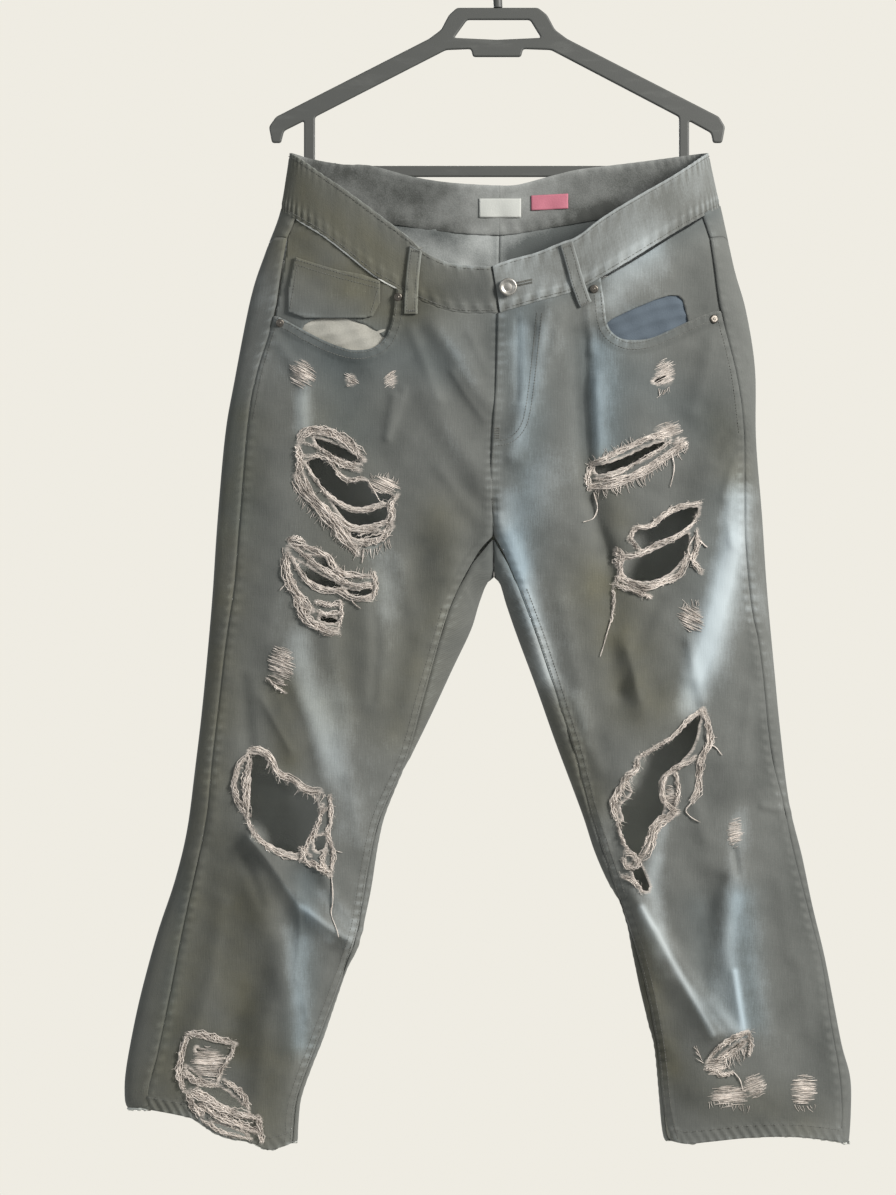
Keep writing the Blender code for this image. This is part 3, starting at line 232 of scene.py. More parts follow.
def smooth(points, steps=6):
    """The points with more between them, on a smooth curve through them all."""
    points = np.array(points, float)
    padded = np.vstack((2 * points[0] - points[1], points, 2 * points[-1] - points[-2]))
    curve = []
    for first, second, third, fourth in zip(padded, padded[1:], padded[2:], padded[3:]):
        for step in range(steps):
            t = step / steps
            curve.append(0.5 * (2 * second + (third - first) * t
                                + (2 * first - 5 * second + 4 * third - fourth) * t ** 2
                                + (3 * second - first - 3 * third + fourth) * t ** 3))
    curve.append(points[-1])
    return np.array(curve)


class Reader:
    """Reads outlines, keeping each smooth curve that it has worked out."""

    def __init__(self):
        self.curves = {}

    def __call__(self, points, values, by_down=True):
        if points not in self.curves:
            self.curves[points] = smooth(points)
        curve = self.curves[points]
        if by_down:
            return np.interp(values, curve[:, 1], curve[:, 0])
        return np.interp(values, curve[:, 0], curve[:, 1])


read = Reader()


def spot(across, down, depth):
    """Places in metres of places on the sheet, seen from the eye and moved to their depth."""
    across, down, depth = np.broadcast_arrays(*(np.asarray(item, float) for item in (across, down, depth)))
    nearness = (VIEW_DISTANCE + depth - SHEET_DEPTH) / VIEW_DISTANCE
    across = EYE_ACROSS + (across - EYE_ACROSS) * nearness
    down = EYE_DOWN + (down - EYE_DOWN) * nearness
    return np.stack(((across - CENTRE_LINE), depth, -(down + RAIL_ABOVE_SHEET)), axis=-1) * MM


def ease(value):
    value = np.clip(value, 0, 1)
    return value * value * (3 - 2 * value)


def profile(table, values):
    return np.interp(values, *zip(*table))


def middle_depth(down):
    return BACK_PLANE - profile(TUBE_DEPTH, down) / 2


def line_distance(route, across, down):
    """How far places on the sheet lie from a route of straight lengths, and how far along it."""
    nearest = np.full(np.shape(across), 1e9)
    at = np.zeros(np.shape(across))
    run = 0.0
    for start, end in zip(route, route[1:]):
        step = np.subtract(end, start)
        length = float(np.hypot(*step))
        part = ((across - start[0]) * step[0] + (down - start[1]) * step[1]) / length ** 2
        part = np.clip(part, 0, 1)
        away = np.hypot(across - start[0] - part * step[0], down - start[1] - part * step[1])
        closer = away < nearest
        nearest = np.where(closer, away, nearest)
        at = np.where(closer, run + part * length, at)
        run += length
    return nearest, at


def bell(value, width):
    """1 where the value is 0, and less on both sides of it."""
    return np.exp(-(value / width) ** 2)


def strokes(table, across, down):
    """The sum of a table's strokes, each strongest along its own route."""
    total = np.zeros(np.shape(across))
    for route, height, width in table:
        nearest, _ = line_distance(route, across, down)
        total += height * bell(nearest, width)
    return total


def stains(table, across, down):
    return np.clip(strokes(table, across, down), 0, 1)


def ripple(across, down):
    """Slow unevenness of cloth that has been worn, a millimetre or so deep."""
    waves = ((0.071, 0.043, 0.3, 0.45), (-0.052, 0.067, 1.9, 0.45), (0.113, -0.031, 4.1, 0.3),
             (0.024, 0.152, 2.2, 0.22), (0.201, 0.117, 5.3, 0.14), (-0.163, 0.214, 0.8, 0.12))
    return sum(high * np.sin(a * across + b * down + turn + 1.3 * np.sin(0.021 * down + turn))
               for a, b, turn, high in waves)


def roundness(offset, power):
    """How far out of the middle a flattened tube reaches, 0 at its edge and 1 at its middle."""
    offset = np.clip(np.abs(offset), 0, 1)
    return (1 - offset ** power) ** (1 / power)


def hip_edges(down):
    return read(OUTER_EDGE[RIGHT], down), read(OUTER_EDGE[LEFT], down)


def leg_edges(side, down):
    inner = np.where(down > CROTCH_LOW, read(INNER_EDGE[side], down), CROTCH_ACROSS)
    return read(OUTER_EDGE[side], down), inner


def offset_in(edges, across):
    return (across - (edges[0] + edges[1]) / 2) / np.abs(edges[1] - edges[0]) * 2


def split(down):
    return ease((down - THIGH_SPLIT[0]) / (THIGH_SPLIT[1] - THIGH_SPLIT[0]))


def bare_front_depth(across, down):
    """Depth of the front's outer face with its main folds only, as the solids have it."""
    power = profile(FRONT_ROUND, down)
    hip = roundness(offset_in(hip_edges(down), across), power)
    right = roundness(offset_in(leg_edges(RIGHT, down), across), power)
    left = roundness(offset_in(leg_edges(LEFT, down), across), power)
    leg = np.where(across < CROTCH_ACROSS, right, left)
    shape = hip + (leg - hip) * split(down)
    fade = np.minimum(1.0, 3 * shape)
    depth = middle_depth(down) - profile(TUBE_DEPTH, down) / 2 * shape
    return depth - fade * strokes(MAIN_FOLDS, across, down), fade


def front_depth(across, down):
    depth, fade = bare_front_depth(across, down)
    crisp = np.zeros(np.shape(across))
    for route, height, width in SHARP_FOLDS:
        nearest, _ = line_distance(route, across, down)
        crisp += CREASE_GAIN * height * np.exp(-np.hypot(nearest, CREASE_ROUND) / width)
    return depth - fade * (strokes(FINE_FOLDS, across, down) + crisp + ripple(across, down))


# Sewn edges of the front panels
MOUTH_BAND = 11.0
HEM_BAND = 13.0
INSEAM_BAND = 9.0
PUCKER = 10.0
MOUTH_LINE = {side: [tuple(place) for place in smooth(POCKET_MOUTH[side][1:12], 3)] for side in SIDES}

# Rips cut through the front panels
RIPS = {
    RIGHT: outlines(
        (314, 438, 328, 442, 345, 449, 361, 461, 350, 462, 334, 456, 321, 449), (306, 462, 318, 458, 328,
         461, 343, 480, 350, 483, 366, 481, 372, 492, 384, 499, 370, 505, 356, 507, 341, 501, 327, 491,
         319, 483), (329, 497, 341, 508, 356, 513, 370, 512, 386, 507, 386, 518, 374, 523, 356, 525, 344,
         518), (372, 487, 384, 491, 394, 498, 388, 503, 378, 497), (350, 531, 364, 534, 379, 532, 378, 537,
         354, 538), (308, 556, 324, 558, 334, 566, 341, 574, 328, 571, 312, 563), (295, 560, 304, 565, 320,
         575, 336, 583, 342, 588, 328, 587, 314, 582, 302, 573), (344, 588, 356, 591, 371, 588, 370, 594,
         354, 596), (320, 616, 336, 619, 335, 623, 322, 621), (249, 754, 262, 756, 271, 766, 279, 777, 292,
         782, 305, 792, 317, 802, 318, 822, 308, 838, 300, 852, 284, 850, 264, 840, 250, 824, 250, 800,
         251, 775), (314, 838, 325, 836, 324, 848, 316, 850), (198, 1087, 217, 1087, 232, 1096, 248, 1112,
         230, 1108, 213, 1098), (212, 1122, 230, 1128, 247, 1136, 230, 1134, 218, 1129), (196, 1048, 210,
         1054, 206, 1056, 197, 1051), (186, 1067, 199, 1077, 195, 1077, 187, 1070)),
    LEFT: outlines(
        (593, 467, 610, 463, 628, 456, 645, 448, 664, 442, 657, 451, 636, 462, 612, 471, 598, 474), (631,
         540, 638, 530, 652, 527, 668, 516, 684, 509, 698, 508, 693, 521, 676, 534, 656, 542, 641, 549),
        (622, 561, 640, 557, 658, 549, 678, 539, 688, 534, 688, 550, 680, 562, 668, 574, 650, 581, 634,
         580, 624, 574), (701, 713, 688, 724, 674, 738, 660, 746, 641, 758, 638, 771, 629, 779, 632, 794,
         621, 806, 624, 820, 619, 826, 627, 847, 637, 858, 646, 848, 652, 832, 660, 818, 664, 804, 661,
         786, 666, 774, 680, 762, 694, 744), (629, 867, 638, 862, 649, 886, 643, 890), (721, 1057, 731,
         1049, 744, 1041, 740, 1047, 728, 1056), (653, 382, 660, 377, 667, 375, 660, 382)),
}

# Frayed threads: what each region shows. A band has a width and a count of yarns, a fringe has the
# reach of its ends and their count, a patch has its half sizes, slope and count, and a strand has a
# radius. The places of its route follow.
BAND = "band"
FRINGE = "fringe"
PATCH = "patch"
STRAND = "strand"
MARK_SIZES = {BAND: 2, FRINGE: 3, PATCH: 4, STRAND: 1}


def marks(*rows):
    """Marks from rows of a kind, its sizes and its places: the kind, its route and then its sizes."""
    found = []
    for kind, *numbers in rows:
        sizes = MARK_SIZES[kind]
        found.append((kind, pairs(*numbers[sizes:]), *numbers[:sizes]))
    return found


THREADS = {
    "threads_thigh_right_upper": (RIGHT, ("fray_thigh_right_upper", "fray_thigh_right_middle",
                                          "fray_thigh_right_lower"), marks(
        (BAND, 8, 22, 300, 441, 303, 434, 314, 430, 330, 433, 345, 440, 356, 449, 364, 460), (FRINGE, 1.5,
         -6, 34, 304, 436, 316, 431, 332, 434, 348, 441, 360, 452), (BAND, 3, 8, 301, 442, 316, 446, 328,
         453, 342, 460, 362, 464), (BAND, 4, 9, 303, 456, 318, 455, 330, 461, 340, 475, 350, 480, 363,
         478), (BAND, 7, 9, 330, 456, 345, 465, 360, 470), (BAND, 7, 12, 298, 446, 300, 462, 297, 480),
        (PATCH, 17, 8, 0.45, 34, 384, 485), (FRINGE, 2, -5, 16, 370, 478, 386, 478, 398, 485), (STRAND,
         0.7, 368, 480, 376, 494, 380, 501), (BAND, 3, 8, 304, 461, 313, 476, 321, 486, 326, 494, 341, 504,
         356, 510, 370, 509, 383, 504, 389, 506), (BAND, 4, 12, 300, 466, 311, 492, 325, 509, 341, 521,
         350, 527, 363, 529, 376, 526, 388, 522), (BAND, 10, 30, 296, 476, 303, 492, 319, 506, 336, 524,
         349, 540, 360, 553), (FRINGE, -2, 6, 36, 294, 484, 304, 502, 320, 518, 338, 536, 354, 550), (BAND,
         8, 20, 358, 543, 372, 540, 384, 534, 392, 526), (FRINGE, 1, 8, 18, 356, 550, 366, 549, 376, 548,
         390, 538), (STRAND, 0.8, 364, 548, 363, 556, 362, 563), (BAND, 6, 14, 398, 494, 391, 505, 393,
         516, 390, 528), (BAND, 2, 4, 356, 537, 366, 532, 378, 528))),
    "threads_thigh_right_lower": (RIGHT, ("fray_thigh_right_band", "fray_thigh_right_hem"), marks(
        (BAND, 4, 10, 288, 540, 296, 538, 305, 543), (BAND, 5, 14, 290, 542, 303, 554, 320, 567, 336, 577,
         344, 582, 358, 586, 373, 584), (BAND, 5, 14, 294, 544, 311, 549, 326, 556, 335, 567, 344, 574,
         360, 576, 373, 577), (FRINGE, 1, -6, 18, 314, 549, 328, 557, 342, 571, 360, 574, 373, 574), (BAND,
         5, 14, 291, 556, 301, 574, 313, 586, 326, 591, 338, 591, 348, 596, 360, 598, 371, 599), (BAND, 4,
         9, 374, 572, 376, 586, 372, 600), (BAND, 8, 20, 288, 548, 286, 566, 292, 586, 303, 600, 313, 611),
        (STRAND, 0.8, 296, 580, 287, 583, 280, 590), (BAND, 5, 8, 316, 602, 328, 605, 342, 604), (BAND, 4,
         7, 318, 612, 330, 614, 342, 612), (BAND, 9, 26, 297, 596, 300, 611, 311, 623, 325, 630, 338, 632),
        (BAND, 3, 6, 340, 600, 342, 616, 338, 630), (STRAND, 0.9, 351, 597, 354, 603, 361, 608))),
    "threads_thigh_right_small": (RIGHT, (), marks(
        (PATCH, 14, 14, 0.55, 46, 302, 374), (PATCH, 8, 8, 0.5, 18, 351, 380), (PATCH, 8, 9, -0.6, 18, 391,
         380), (PATCH, 14, 21, 0.35, 90, 281, 665), (BAND, 3, 7, 267, 678, 276, 687, 286, 693))),
    "threads_knee_right": (RIGHT, ("fray_knee_right_upper", "fray_knee_right_side"), marks(
        (BAND, 5, 14, 250, 754, 240, 764, 234, 784, 238, 802, 247, 818), (BAND, 6, 14, 250, 756, 246, 780,
         246, 800, 249, 818), (BAND, 4, 10, 247, 816, 254, 834, 264, 844, 279, 854, 298, 858), (BAND, 5,
         16, 249, 750, 259, 749, 271, 758, 278, 773, 292, 779, 306, 789, 322, 792), (FRINGE, -1, 9, 44,
         268, 758, 278, 772, 292, 779, 306, 789, 320, 793, 330, 796), (BAND, 4, 11, 330, 795, 331, 823,
         327, 832, 333, 850, 331, 877), (STRAND, 0.9, 331, 876, 333, 901, 331, 915, 339, 936), (BAND, 4, 9,
         323, 804, 318, 824, 309, 840, 306, 852, 311, 856), (BAND, 3, 6, 330, 806, 321, 814, 314, 838),
        (BAND, 5, 9, 299, 846, 303, 852, 300, 860), (BAND, 6, 12, 303, 860, 316, 866, 330, 876), (BAND, 6,
         10, 326, 850, 322, 862, 329, 874), (STRAND, 0.6, 331, 852, 336, 851, 342, 852))),
    "threads_hem_right": (RIGHT, ("fray_hem_right",), marks(
        (BAND, 6, 16, 187, 1034, 203, 1035, 222, 1040, 236, 1044), (PATCH, 20, 17, 0.05, 70, 210, 1063),
        (BAND, 6, 14, 187, 1036, 182, 1052, 178, 1075, 184, 1090), (BAND, 4, 9, 234, 1046, 231, 1056, 222,
         1069, 218, 1082), (BAND, 6, 14, 184, 1072, 196, 1081, 216, 1084), (BAND, 5, 14, 224, 1080, 235,
         1088, 243, 1095, 249, 1109), (BAND, 8, 28, 192, 1091, 209, 1101, 230, 1112, 250, 1117, 260, 1120),
        (BAND, 7, 24, 200, 1104, 216, 1115, 236, 1124, 258, 1132), (BAND, 7, 16, 188, 1092, 192, 1104, 202,
         1116), (BAND, 3, 8, 202, 1120, 222, 1132, 252, 1139), (BAND, 5, 10, 258, 1116, 260, 1130, 262,
         1142))),
    "threads_thigh_left_upper": (LEFT, ("fray_thigh_left_upper",), marks(
        (BAND, 6, 20, 590, 465, 603, 459, 617, 452, 637, 443, 650, 437, 670, 436), (FRINGE, -1.5, -6, 26,
         591, 464, 604, 457, 618, 450, 636, 442), (PATCH, 17, 8, -0.35, 40, 668, 430), (BAND, 2.5, 7, 594,
         479, 617, 474, 637, 462, 663, 447, 671, 441), (BAND, 3, 8, 594, 483, 629, 476, 656, 461, 674,
         448), (BAND, 6, 22, 590, 487, 608, 486, 629, 479, 650, 468, 670, 454, 686, 444), (FRINGE, 1.5, 9,
         48, 594, 489, 610, 488, 630, 481, 650, 470, 668, 458), (PATCH, 9, 8, -0.5, 22, 680, 443), (FRINGE,
         2, 10, 12, 668, 452, 678, 448, 688, 444), (STRAND, 0.8, 671, 452, 674, 468, 670, 487), (STRAND,
         0.9, 594, 492, 598, 508, 593, 518, 583, 522), (BAND, 5, 10, 592, 465, 587, 476, 590, 490), (PATCH,
         12, 15, -0.5, 40, 665, 374), (FRINGE, -1, 8, 8, 658, 388, 664, 390, 670, 386))),
    "threads_thigh_left_lower": (LEFT, ("fray_thigh_left_middle", "fray_thigh_left_lower"), marks(
        (BAND, 5, 18, 629, 540, 634, 528, 650, 526, 664, 515, 681, 506, 701, 503), (BAND, 2.5, 6, 630, 538,
         640, 550), (BAND, 4, 12, 617, 556, 639, 554, 656, 545, 677, 536, 692, 525, 698, 511), (BAND, 8,
         16, 616, 550, 622, 556, 618, 566), (BAND, 5, 11, 619, 558, 620, 572, 616, 582), (BAND, 5, 20, 620,
         578, 634, 585, 647, 588, 661, 583, 678, 576, 685, 563, 688, 552), (BAND, 5, 12, 616, 584, 632,
         590, 651, 597), (BAND, 5, 12, 697, 530, 698, 546, 693, 560, 702, 573), (STRAND, 1, 694, 536, 688,
         548, 690, 556), (STRAND, 1.6, 698, 540, 707, 547), (BAND, 2.5, 5, 613, 584, 614, 604, 611, 622),
        (STRAND, 0.8, 611, 620, 606, 637, 600, 656), (PATCH, 15, 14, 0.5, 40, 692, 618), (FRINGE, -1, -7,
         10, 682, 610, 692, 606, 700, 606))),
    "threads_knee_left": (LEFT, ("fray_knee_left_upper", "fray_knee_left_side"), marks(
        (BAND, 3.5, 14, 703, 708, 688, 720, 672, 737, 659, 745, 641, 756), (FRINGE, 2, 4, 12, 672, 737,
         659, 746, 642, 757), (BAND, 7, 16, 638, 758, 636, 770, 627, 776), (FRINGE, 7, 8, 26, 636, 762,
         628, 776, 622, 790, 615, 802), (BAND, 6, 18, 628, 774, 621, 788, 614, 802, 616, 818), (FRINGE, 5,
         8, 10, 615, 804, 617, 816, 620, 824), (BAND, 3, 8, 617, 820, 622, 838, 628, 850), (BAND, 5, 16,
         625, 852, 634, 854, 638, 864, 628, 868, 623, 858), (BAND, 5, 9, 622, 876, 632, 880, 643, 892),
        (BAND, 6, 24, 704, 709, 709, 728, 709, 744, 702, 757, 699, 776, 698, 790, 692, 802), (STRAND, 0.9,
         692, 802, 686, 810, 690, 816, 700, 822), (STRAND, 0.7, 709, 738, 717, 737), (STRAND, 0.9, 709,
         744, 716, 748, 722, 755), (BAND, 6, 18, 696, 757, 680, 766, 667, 774, 662, 786, 665, 802, 678,
         812), (BAND, 4, 9, 676, 772, 679, 790, 676, 806), (PATCH, 7, 11, 0, 20, 671, 796), (BAND, 8, 26,
         678, 812, 666, 818, 656, 826, 651, 840, 646, 852, 640, 858))),
    "threads_hem_left": (LEFT, ("fray_hem_left",), marks(
        (BAND, 5, 16, 748, 1031, 727, 1041, 714, 1052, 707, 1063), (BAND, 4, 8, 749, 1032, 751, 1044, 749,
         1055), (FRINGE, 1.5, 11, 22, 724, 1060, 734, 1054, 748, 1046), (BAND, 3, 8, 716, 1060, 730, 1052,
         746, 1040), (FRINGE, -6, -8, 8, 704, 1064, 700, 1056, 698, 1050), (PATCH, 13, 8, -0.3, 30, 716,
         1066), (BAND, 4, 10, 708, 1068, 722, 1075, 733, 1072), (STRAND, 0.8, 734, 1072, 740, 1080, 743,
         1090), (PATCH, 21, 11, -0.1, 52, 729, 1096), (PATCH, 13, 12, -0.4, 40, 755, 1086), (FRINGE, 1, 7,
         16, 708, 1102, 720, 1100, 734, 1104, 750, 1106), (PATCH, 14, 16, 0, 52, 804, 1090), (FRINGE, 2, 6,
         8, 792, 1104, 806, 1106, 816, 1104), (PATCH, 9, 15, -0.3, 36, 735, 832))),
}

# Wear of the dye, with painted light and shade among the strokes: strength, half width and route; fades and
# tones below 0 darken
# Fades along the fold ridges are partly real wear and partly painted highlight; the strokes below 0 are
# painted shade along troughs and in dim areas
FADES_AND_PAINTED_LIGHT = routes(
    (0.5, 9, 303, 390, 304, 426), (0.3, 8, 437, 326, 466, 369, 487, 401),
    (0.3, 10, 426, 390, 466, 454, 484, 483), (0.3, 5, 404, 394, 389, 438), (0.45, 8, 521, 330, 519, 400),
    (0.35, 6, 549, 315, 537, 356, 524, 411, 514, 454), (0.45, 16, 603, 350, 603, 400, 602, 446),
    (0.7, 9, 499, 519, 517, 561, 531, 622, 546, 676), (0.75, 13, 738, 540, 724, 586, 703, 640, 690, 690),
    (0.4, 7, 740, 470, 730, 500, 722, 520), (0.3, 6, 717, 330, 706, 380, 694, 411),
    (0.6, 20, 328, 700, 332, 752), (0.25, 14, 404, 560, 396, 640, 380, 700),
    (0.2, 10, 450, 600, 436, 650, 420, 700), (0.45, 8, 300, 868, 330, 902, 352, 932),
    (0.45, 10, 302, 940, 302, 1000, 298, 1045), (0.2, 9, 186, 900, 176, 960, 168, 1020),
    (0.45, 4, 642, 908, 678, 972, 722, 1030), (0.5, 7, 736, 900, 728, 950, 744, 1026),
    (0.25, 14, 700, 900, 710, 980, 726, 1020), (0.22, 12, 752, 900, 760, 980, 764, 1040),
    (0.4, 6, 634, 890, 648, 930), (0.5, 7, 658, 860, 648, 890), (0.2, 8, 752, 560, 766, 640, 774, 700),
    (0.25, 8, 566, 680, 596, 760), (0.15, 8, 655, 1000, 674, 1060),
    (0.22, 22, 590, 460, 560, 470, 530, 500), (0.15, 12, 520, 440, 500, 470),
    (0.2, 8, 624, 345, 650, 352, 690, 344), (0.1, 9, 470, 322, 430, 318), (0.14, 9, 262, 240, 252, 300),
    (0.12, 10, 360, 800, 356, 860), (-0.34, 18, 340, 352, 364, 366), (-0.16, 12, 400, 320, 440, 322),
    (-0.45, 6, 584, 335, 582, 390, 586, 460, 606, 551), (-0.28, 22, 700, 392, 724, 440),
    (-0.12, 12, 262, 470, 252, 560), (-0.3, 22, 430, 540, 440, 580), (-0.24, 8, 248, 682, 254, 748),
    (-0.26, 8, 290, 700, 308, 770), (-0.2, 20, 230, 850, 200, 960, 190, 1040),
    (-0.34, 16, 250, 906, 260, 980, 240, 1040), (-0.22, 20, 700, 770, 722, 800),
    (-0.2, 20, 610, 600, 640, 700, 668, 690), (-0.34, 12, 640, 960, 664, 1050),
    (-0.2, 14, 690, 1100, 750, 1126), (-0.16, 10, 820, 1020, 836, 1100), (-0.28, 8, 716, 880, 700, 930),
    (-0.26, 9, 470, 510, 484, 560), (-0.14, 16, 356, 440, 390, 400), (-0.24, 18, 270, 1010, 262, 1110),
    (-0.14, 22, 380, 460, 420, 500), (-0.2, 8, 690, 330, 672, 320), (-0.18, 18, 640, 540, 612, 500))
# Olive tint: partly grime, partly painted warm shade where dim warm light falls
GRIME_AND_WARM_SHADE_STROKES = routes(
    (0.95, 32, 290, 180, 360, 240, 420, 290), (0.95, 30, 296, 250, 384, 300),
    (0.8, 28, 240, 420, 225, 600, 205, 800), (0.4, 40, 330, 420, 340, 560, 340, 700),
    (0.8, 34, 210, 860, 180, 1000, 160, 1090), (0.95, 24, 250, 900, 240, 1040),
    (0.9, 18, 280, 690, 290, 760), (0.95, 36, 600, 580, 640, 700), (0.95, 16, 640, 950, 670, 1070),
    (0.5, 20, 720, 420, 735, 470), (0.6, 32, 440, 520, 430, 620, 400, 720), (0.7, 22, 560, 720, 590, 800),
    (0.4, 26, 700, 1090, 800, 1120), (0.8, 24, 270, 1060, 262, 1130), (0.5, 20, 600, 470, 620, 520))
# Painted light and shade, with some tone of the dye: strokes below 0 are painted shade in hollows, beside
# folds and under creases, and those above 0 are painted highlights on lit slopes, with thin painted
# highlights along the sharp creases
PAINTED_LIGHT_AND_TONES = routes(
    (-0.3, 26, 420, 320, 440, 400, 478, 480), (-0.3, 8, 491, 330, 488, 420),
    (-0.42, 26, 690, 240, 712, 330, 716, 420, 700, 500), (-0.16, 22, 670, 350, 676, 430),
    (-0.16, 28, 240, 420, 228, 560, 220, 700), (-0.22, 16, 262, 460, 272, 560, 262, 660),
    (-0.26, 34, 210, 820, 190, 960, 180, 1080), (-0.26, 30, 250, 860, 246, 960, 250, 1080),
    (-0.36, 22, 430, 540, 420, 620, 400, 700), (-0.42, 12, 484, 520, 482, 580),
    (-0.16, 22, 380, 400, 400, 500), (-0.34, 14, 676, 590, 690, 580), (-0.22, 14, 650, 480, 690, 490),
    (-0.24, 14, 752, 640, 764, 720, 764, 780), (-0.34, 20, 790, 840, 812, 940, 826, 1060),
    (-0.5, 11, 622, 900, 636, 970, 658, 1060), (-0.36, 10, 580, 800, 604, 880),
    (-0.34, 22, 690, 1100, 760, 1112, 830, 1100), (-0.2, 14, 700, 1060, 690, 1090),
    (-0.26, 24, 250, 1040, 280, 1120), (-0.22, 7, 520, 600, 548, 700, 572, 770),
    (-0.3, 9, 260, 850, 290, 880), (-0.14, 12, 280, 690, 262, 760), (-0.24, 12, 350, 620, 352, 680),
    (-0.22, 9, 336, 950, 322, 1010), (-0.26, 9, 690, 900, 704, 960), (-0.26, 14, 700, 830, 696, 900),
    (-0.3, 5, 576, 330, 580, 400, 588, 480), (-0.1, 14, 612, 420, 600, 440),
    (0.3, 14, 356, 530, 384, 560, 384, 610), (0.62, 13, 300, 640, 308, 700, 336, 770),
    (0.24, 12, 340, 790, 346, 840), (0.58, 11, 508, 500, 528, 580, 550, 680), (0.2, 8, 556, 700, 562, 730),
    (0.22, 5, 595, 330, 598, 420, 600, 500), (0.85, 13, 740, 500, 728, 570, 708, 650, 690, 705),
    (0.35, 22, 730, 600, 716, 650), (0.55, 9, 662, 820, 652, 880, 662, 950),
    (0.4, 11, 742, 810, 732, 900, 726, 980, 738, 1040), (0.24, 10, 520, 320, 534, 380, 520, 440),
    (0.2, 8, 545, 330, 540, 380), (0.55, 16, 610, 300, 626, 270, 650, 250), (0.2, 6, 280, 600, 268, 640),
    (0.35, 6, 304, 910, 330, 936), (0.35, 8, 286, 930, 296, 1000), (0.3, 5, 330, 940, 346, 948),
    (0.2, 8, 144, 900, 150, 930), (0.18, 6, 440, 330, 470, 380), (0.22, 14, 510, 270, 540, 290),
    (0.16, 18, 540, 460, 530, 520), (0.35, 7, 300, 400, 300, 428), (0.15, 16, 640, 240, 690, 200),
    (-0.32, 12, 420, 300, 455, 290, 480, 288), (-0.25, 18, 700, 205, 670, 205),
    (0.3, 18, 650, 280, 700, 240), (-0.24, 18, 720, 770, 716, 800), (-0.2, 16, 762, 740, 756, 800),
    (-0.75, 9, 300, 866, 318, 880), (-0.3, 16, 680, 1040, 672, 1080), (-0.2, 16, 816, 1040, 826, 1080),
    (-0.22, 18, 784, 880, 792, 1010), (0.22, 9, 650, 940, 656, 975), (-0.24, 10, 346, 850, 360, 866),
    (-0.4, 16, 330, 350, 356, 372), (-0.16, 14, 400, 420, 396, 450), (-0.2, 16, 430, 540, 436, 580),
    (0.24, 12, 446, 430, 458, 470), (0.2, 10, 516, 345, 524, 380), (0.1, 10, 262, 280, 264, 300),
    (0.2, 8, 222, 520, 226, 590), (-0.24, 14, 236, 690, 246, 720), (-0.24, 14, 600, 740, 606, 790),
    (-0.22, 18, 640, 620, 660, 690), (-0.2, 9, 744, 420, 746, 470), (0.25, 10, 730, 540, 722, 580),
    (0.8, 3.4, 642, 908, 678, 972, 713, 1034), (0.9, 3.2, 735, 972, 743, 1029),
    (0.4, 3.2, 250, 838, 298, 905, 351, 942), (0.3, 4, 470, 268, 440, 262))
FADE_AND_PAINTED_LIGHT_GAIN = 0.6
PAINTED_LIGHT_AND_TONE_GAIN = 0.9
# Painted shade inside the waistband and yokes, darker towards the sides and under the front band, with a
# little painted light at the middle
INSIDE_PAINTED_LIGHT_AND_SHADE = routes(
    (-0.42, 40, 290, 150, 360, 172, 430, 195), (-0.3, 12, 446, 236, 480, 262),
    (0.12, 30, 440, 200, 520, 190), (-0.3, 34, 580, 205, 720, 160), (-0.62, 18, 515, 256, 610, 226),
    (0.35, 14, 466, 262, 480, 246), (-0.25, 10, 400, 226, 440, 234))
# Bluish tint: partly the dye, partly painted cool light
COOL_LIGHT_AND_INDIGO_STROKES = routes(
    (0.8, 24, 520, 330, 530, 420, 520, 560), (1, 24, 600, 350, 606, 440), (0.5, 30, 340, 372, 350, 430),
    (0.4, 24, 726, 500, 700, 680), (0.8, 16, 306, 880, 300, 1040), (0.3, 10, 185, 880, 165, 1040),
    (0.9, 18, 740, 900, 750, 1020), (0.5, 18, 700, 910, 716, 1010), (1, 14, 640, 320, 660, 322),
    (0.5, 22, 520, 285, 600, 240, 700, 180), (0.5, 12, 510, 540, 530, 620), (0.5, 30, 300, 340, 440, 360),
    (0.7, 30, 520, 280, 640, 230, 730, 180), (0.4, 30, 640, 380, 700, 420), (0.4, 20, 230, 400, 240, 520))


def tone(across, down):
    """Lighter and darker areas of the front: wear of the dye, with painted highlights and painted shade where
    the folds and hollows catch or lose the light.
    """
    return FADE_AND_PAINTED_LIGHT_GAIN * strokes(FADES_AND_PAINTED_LIGHT, across, down) + PAINTED_LIGHT_AND_TONE_GAIN * strokes(PAINTED_LIGHT_AND_TONES, across, down)


def side_seam_away(side, across, down):
    hand = 1 if side == RIGHT else -1
    return hand * (across - read(SIDE_SEAM[side], down))


def inner_away(side, across, down):
    """How far inside the centre front and the inseam a place of a front panel lies."""
    hand = -1 if side == RIGHT else 1
    centre = read(CENTRE_FRONT[side], down)
    inseam = read(INSEAM[side], down)
    return hand * (across - np.where(down < INSEAM[side][0][1], centre, inseam))


def hem_above(side, across, down):
    return read(HEM[side], across, by_down=False) - down


def pucker(at, pitch=PUCKER):
    """Even gathers along a seam, with a slow change in their strength."""
    return np.sin(2 * math.pi * at / pitch + 1.1 * np.sin(at / 37)) * (0.7 + 0.3 * np.sin(at / 23))


def step_up(inside, soft=1.2):
    return ease(inside / (2 * soft) + 0.5)


def fly_lift(side, across, down):
    if side == RIGHT:
        return 0.0
    across_part = ease((FLY_OUTER_EDGE - across) / FLY_OUTER_FADE)
    return FLY_STEP * across_part * ease((FLY_LOW_END - down) / FLY_LOW_FADE)


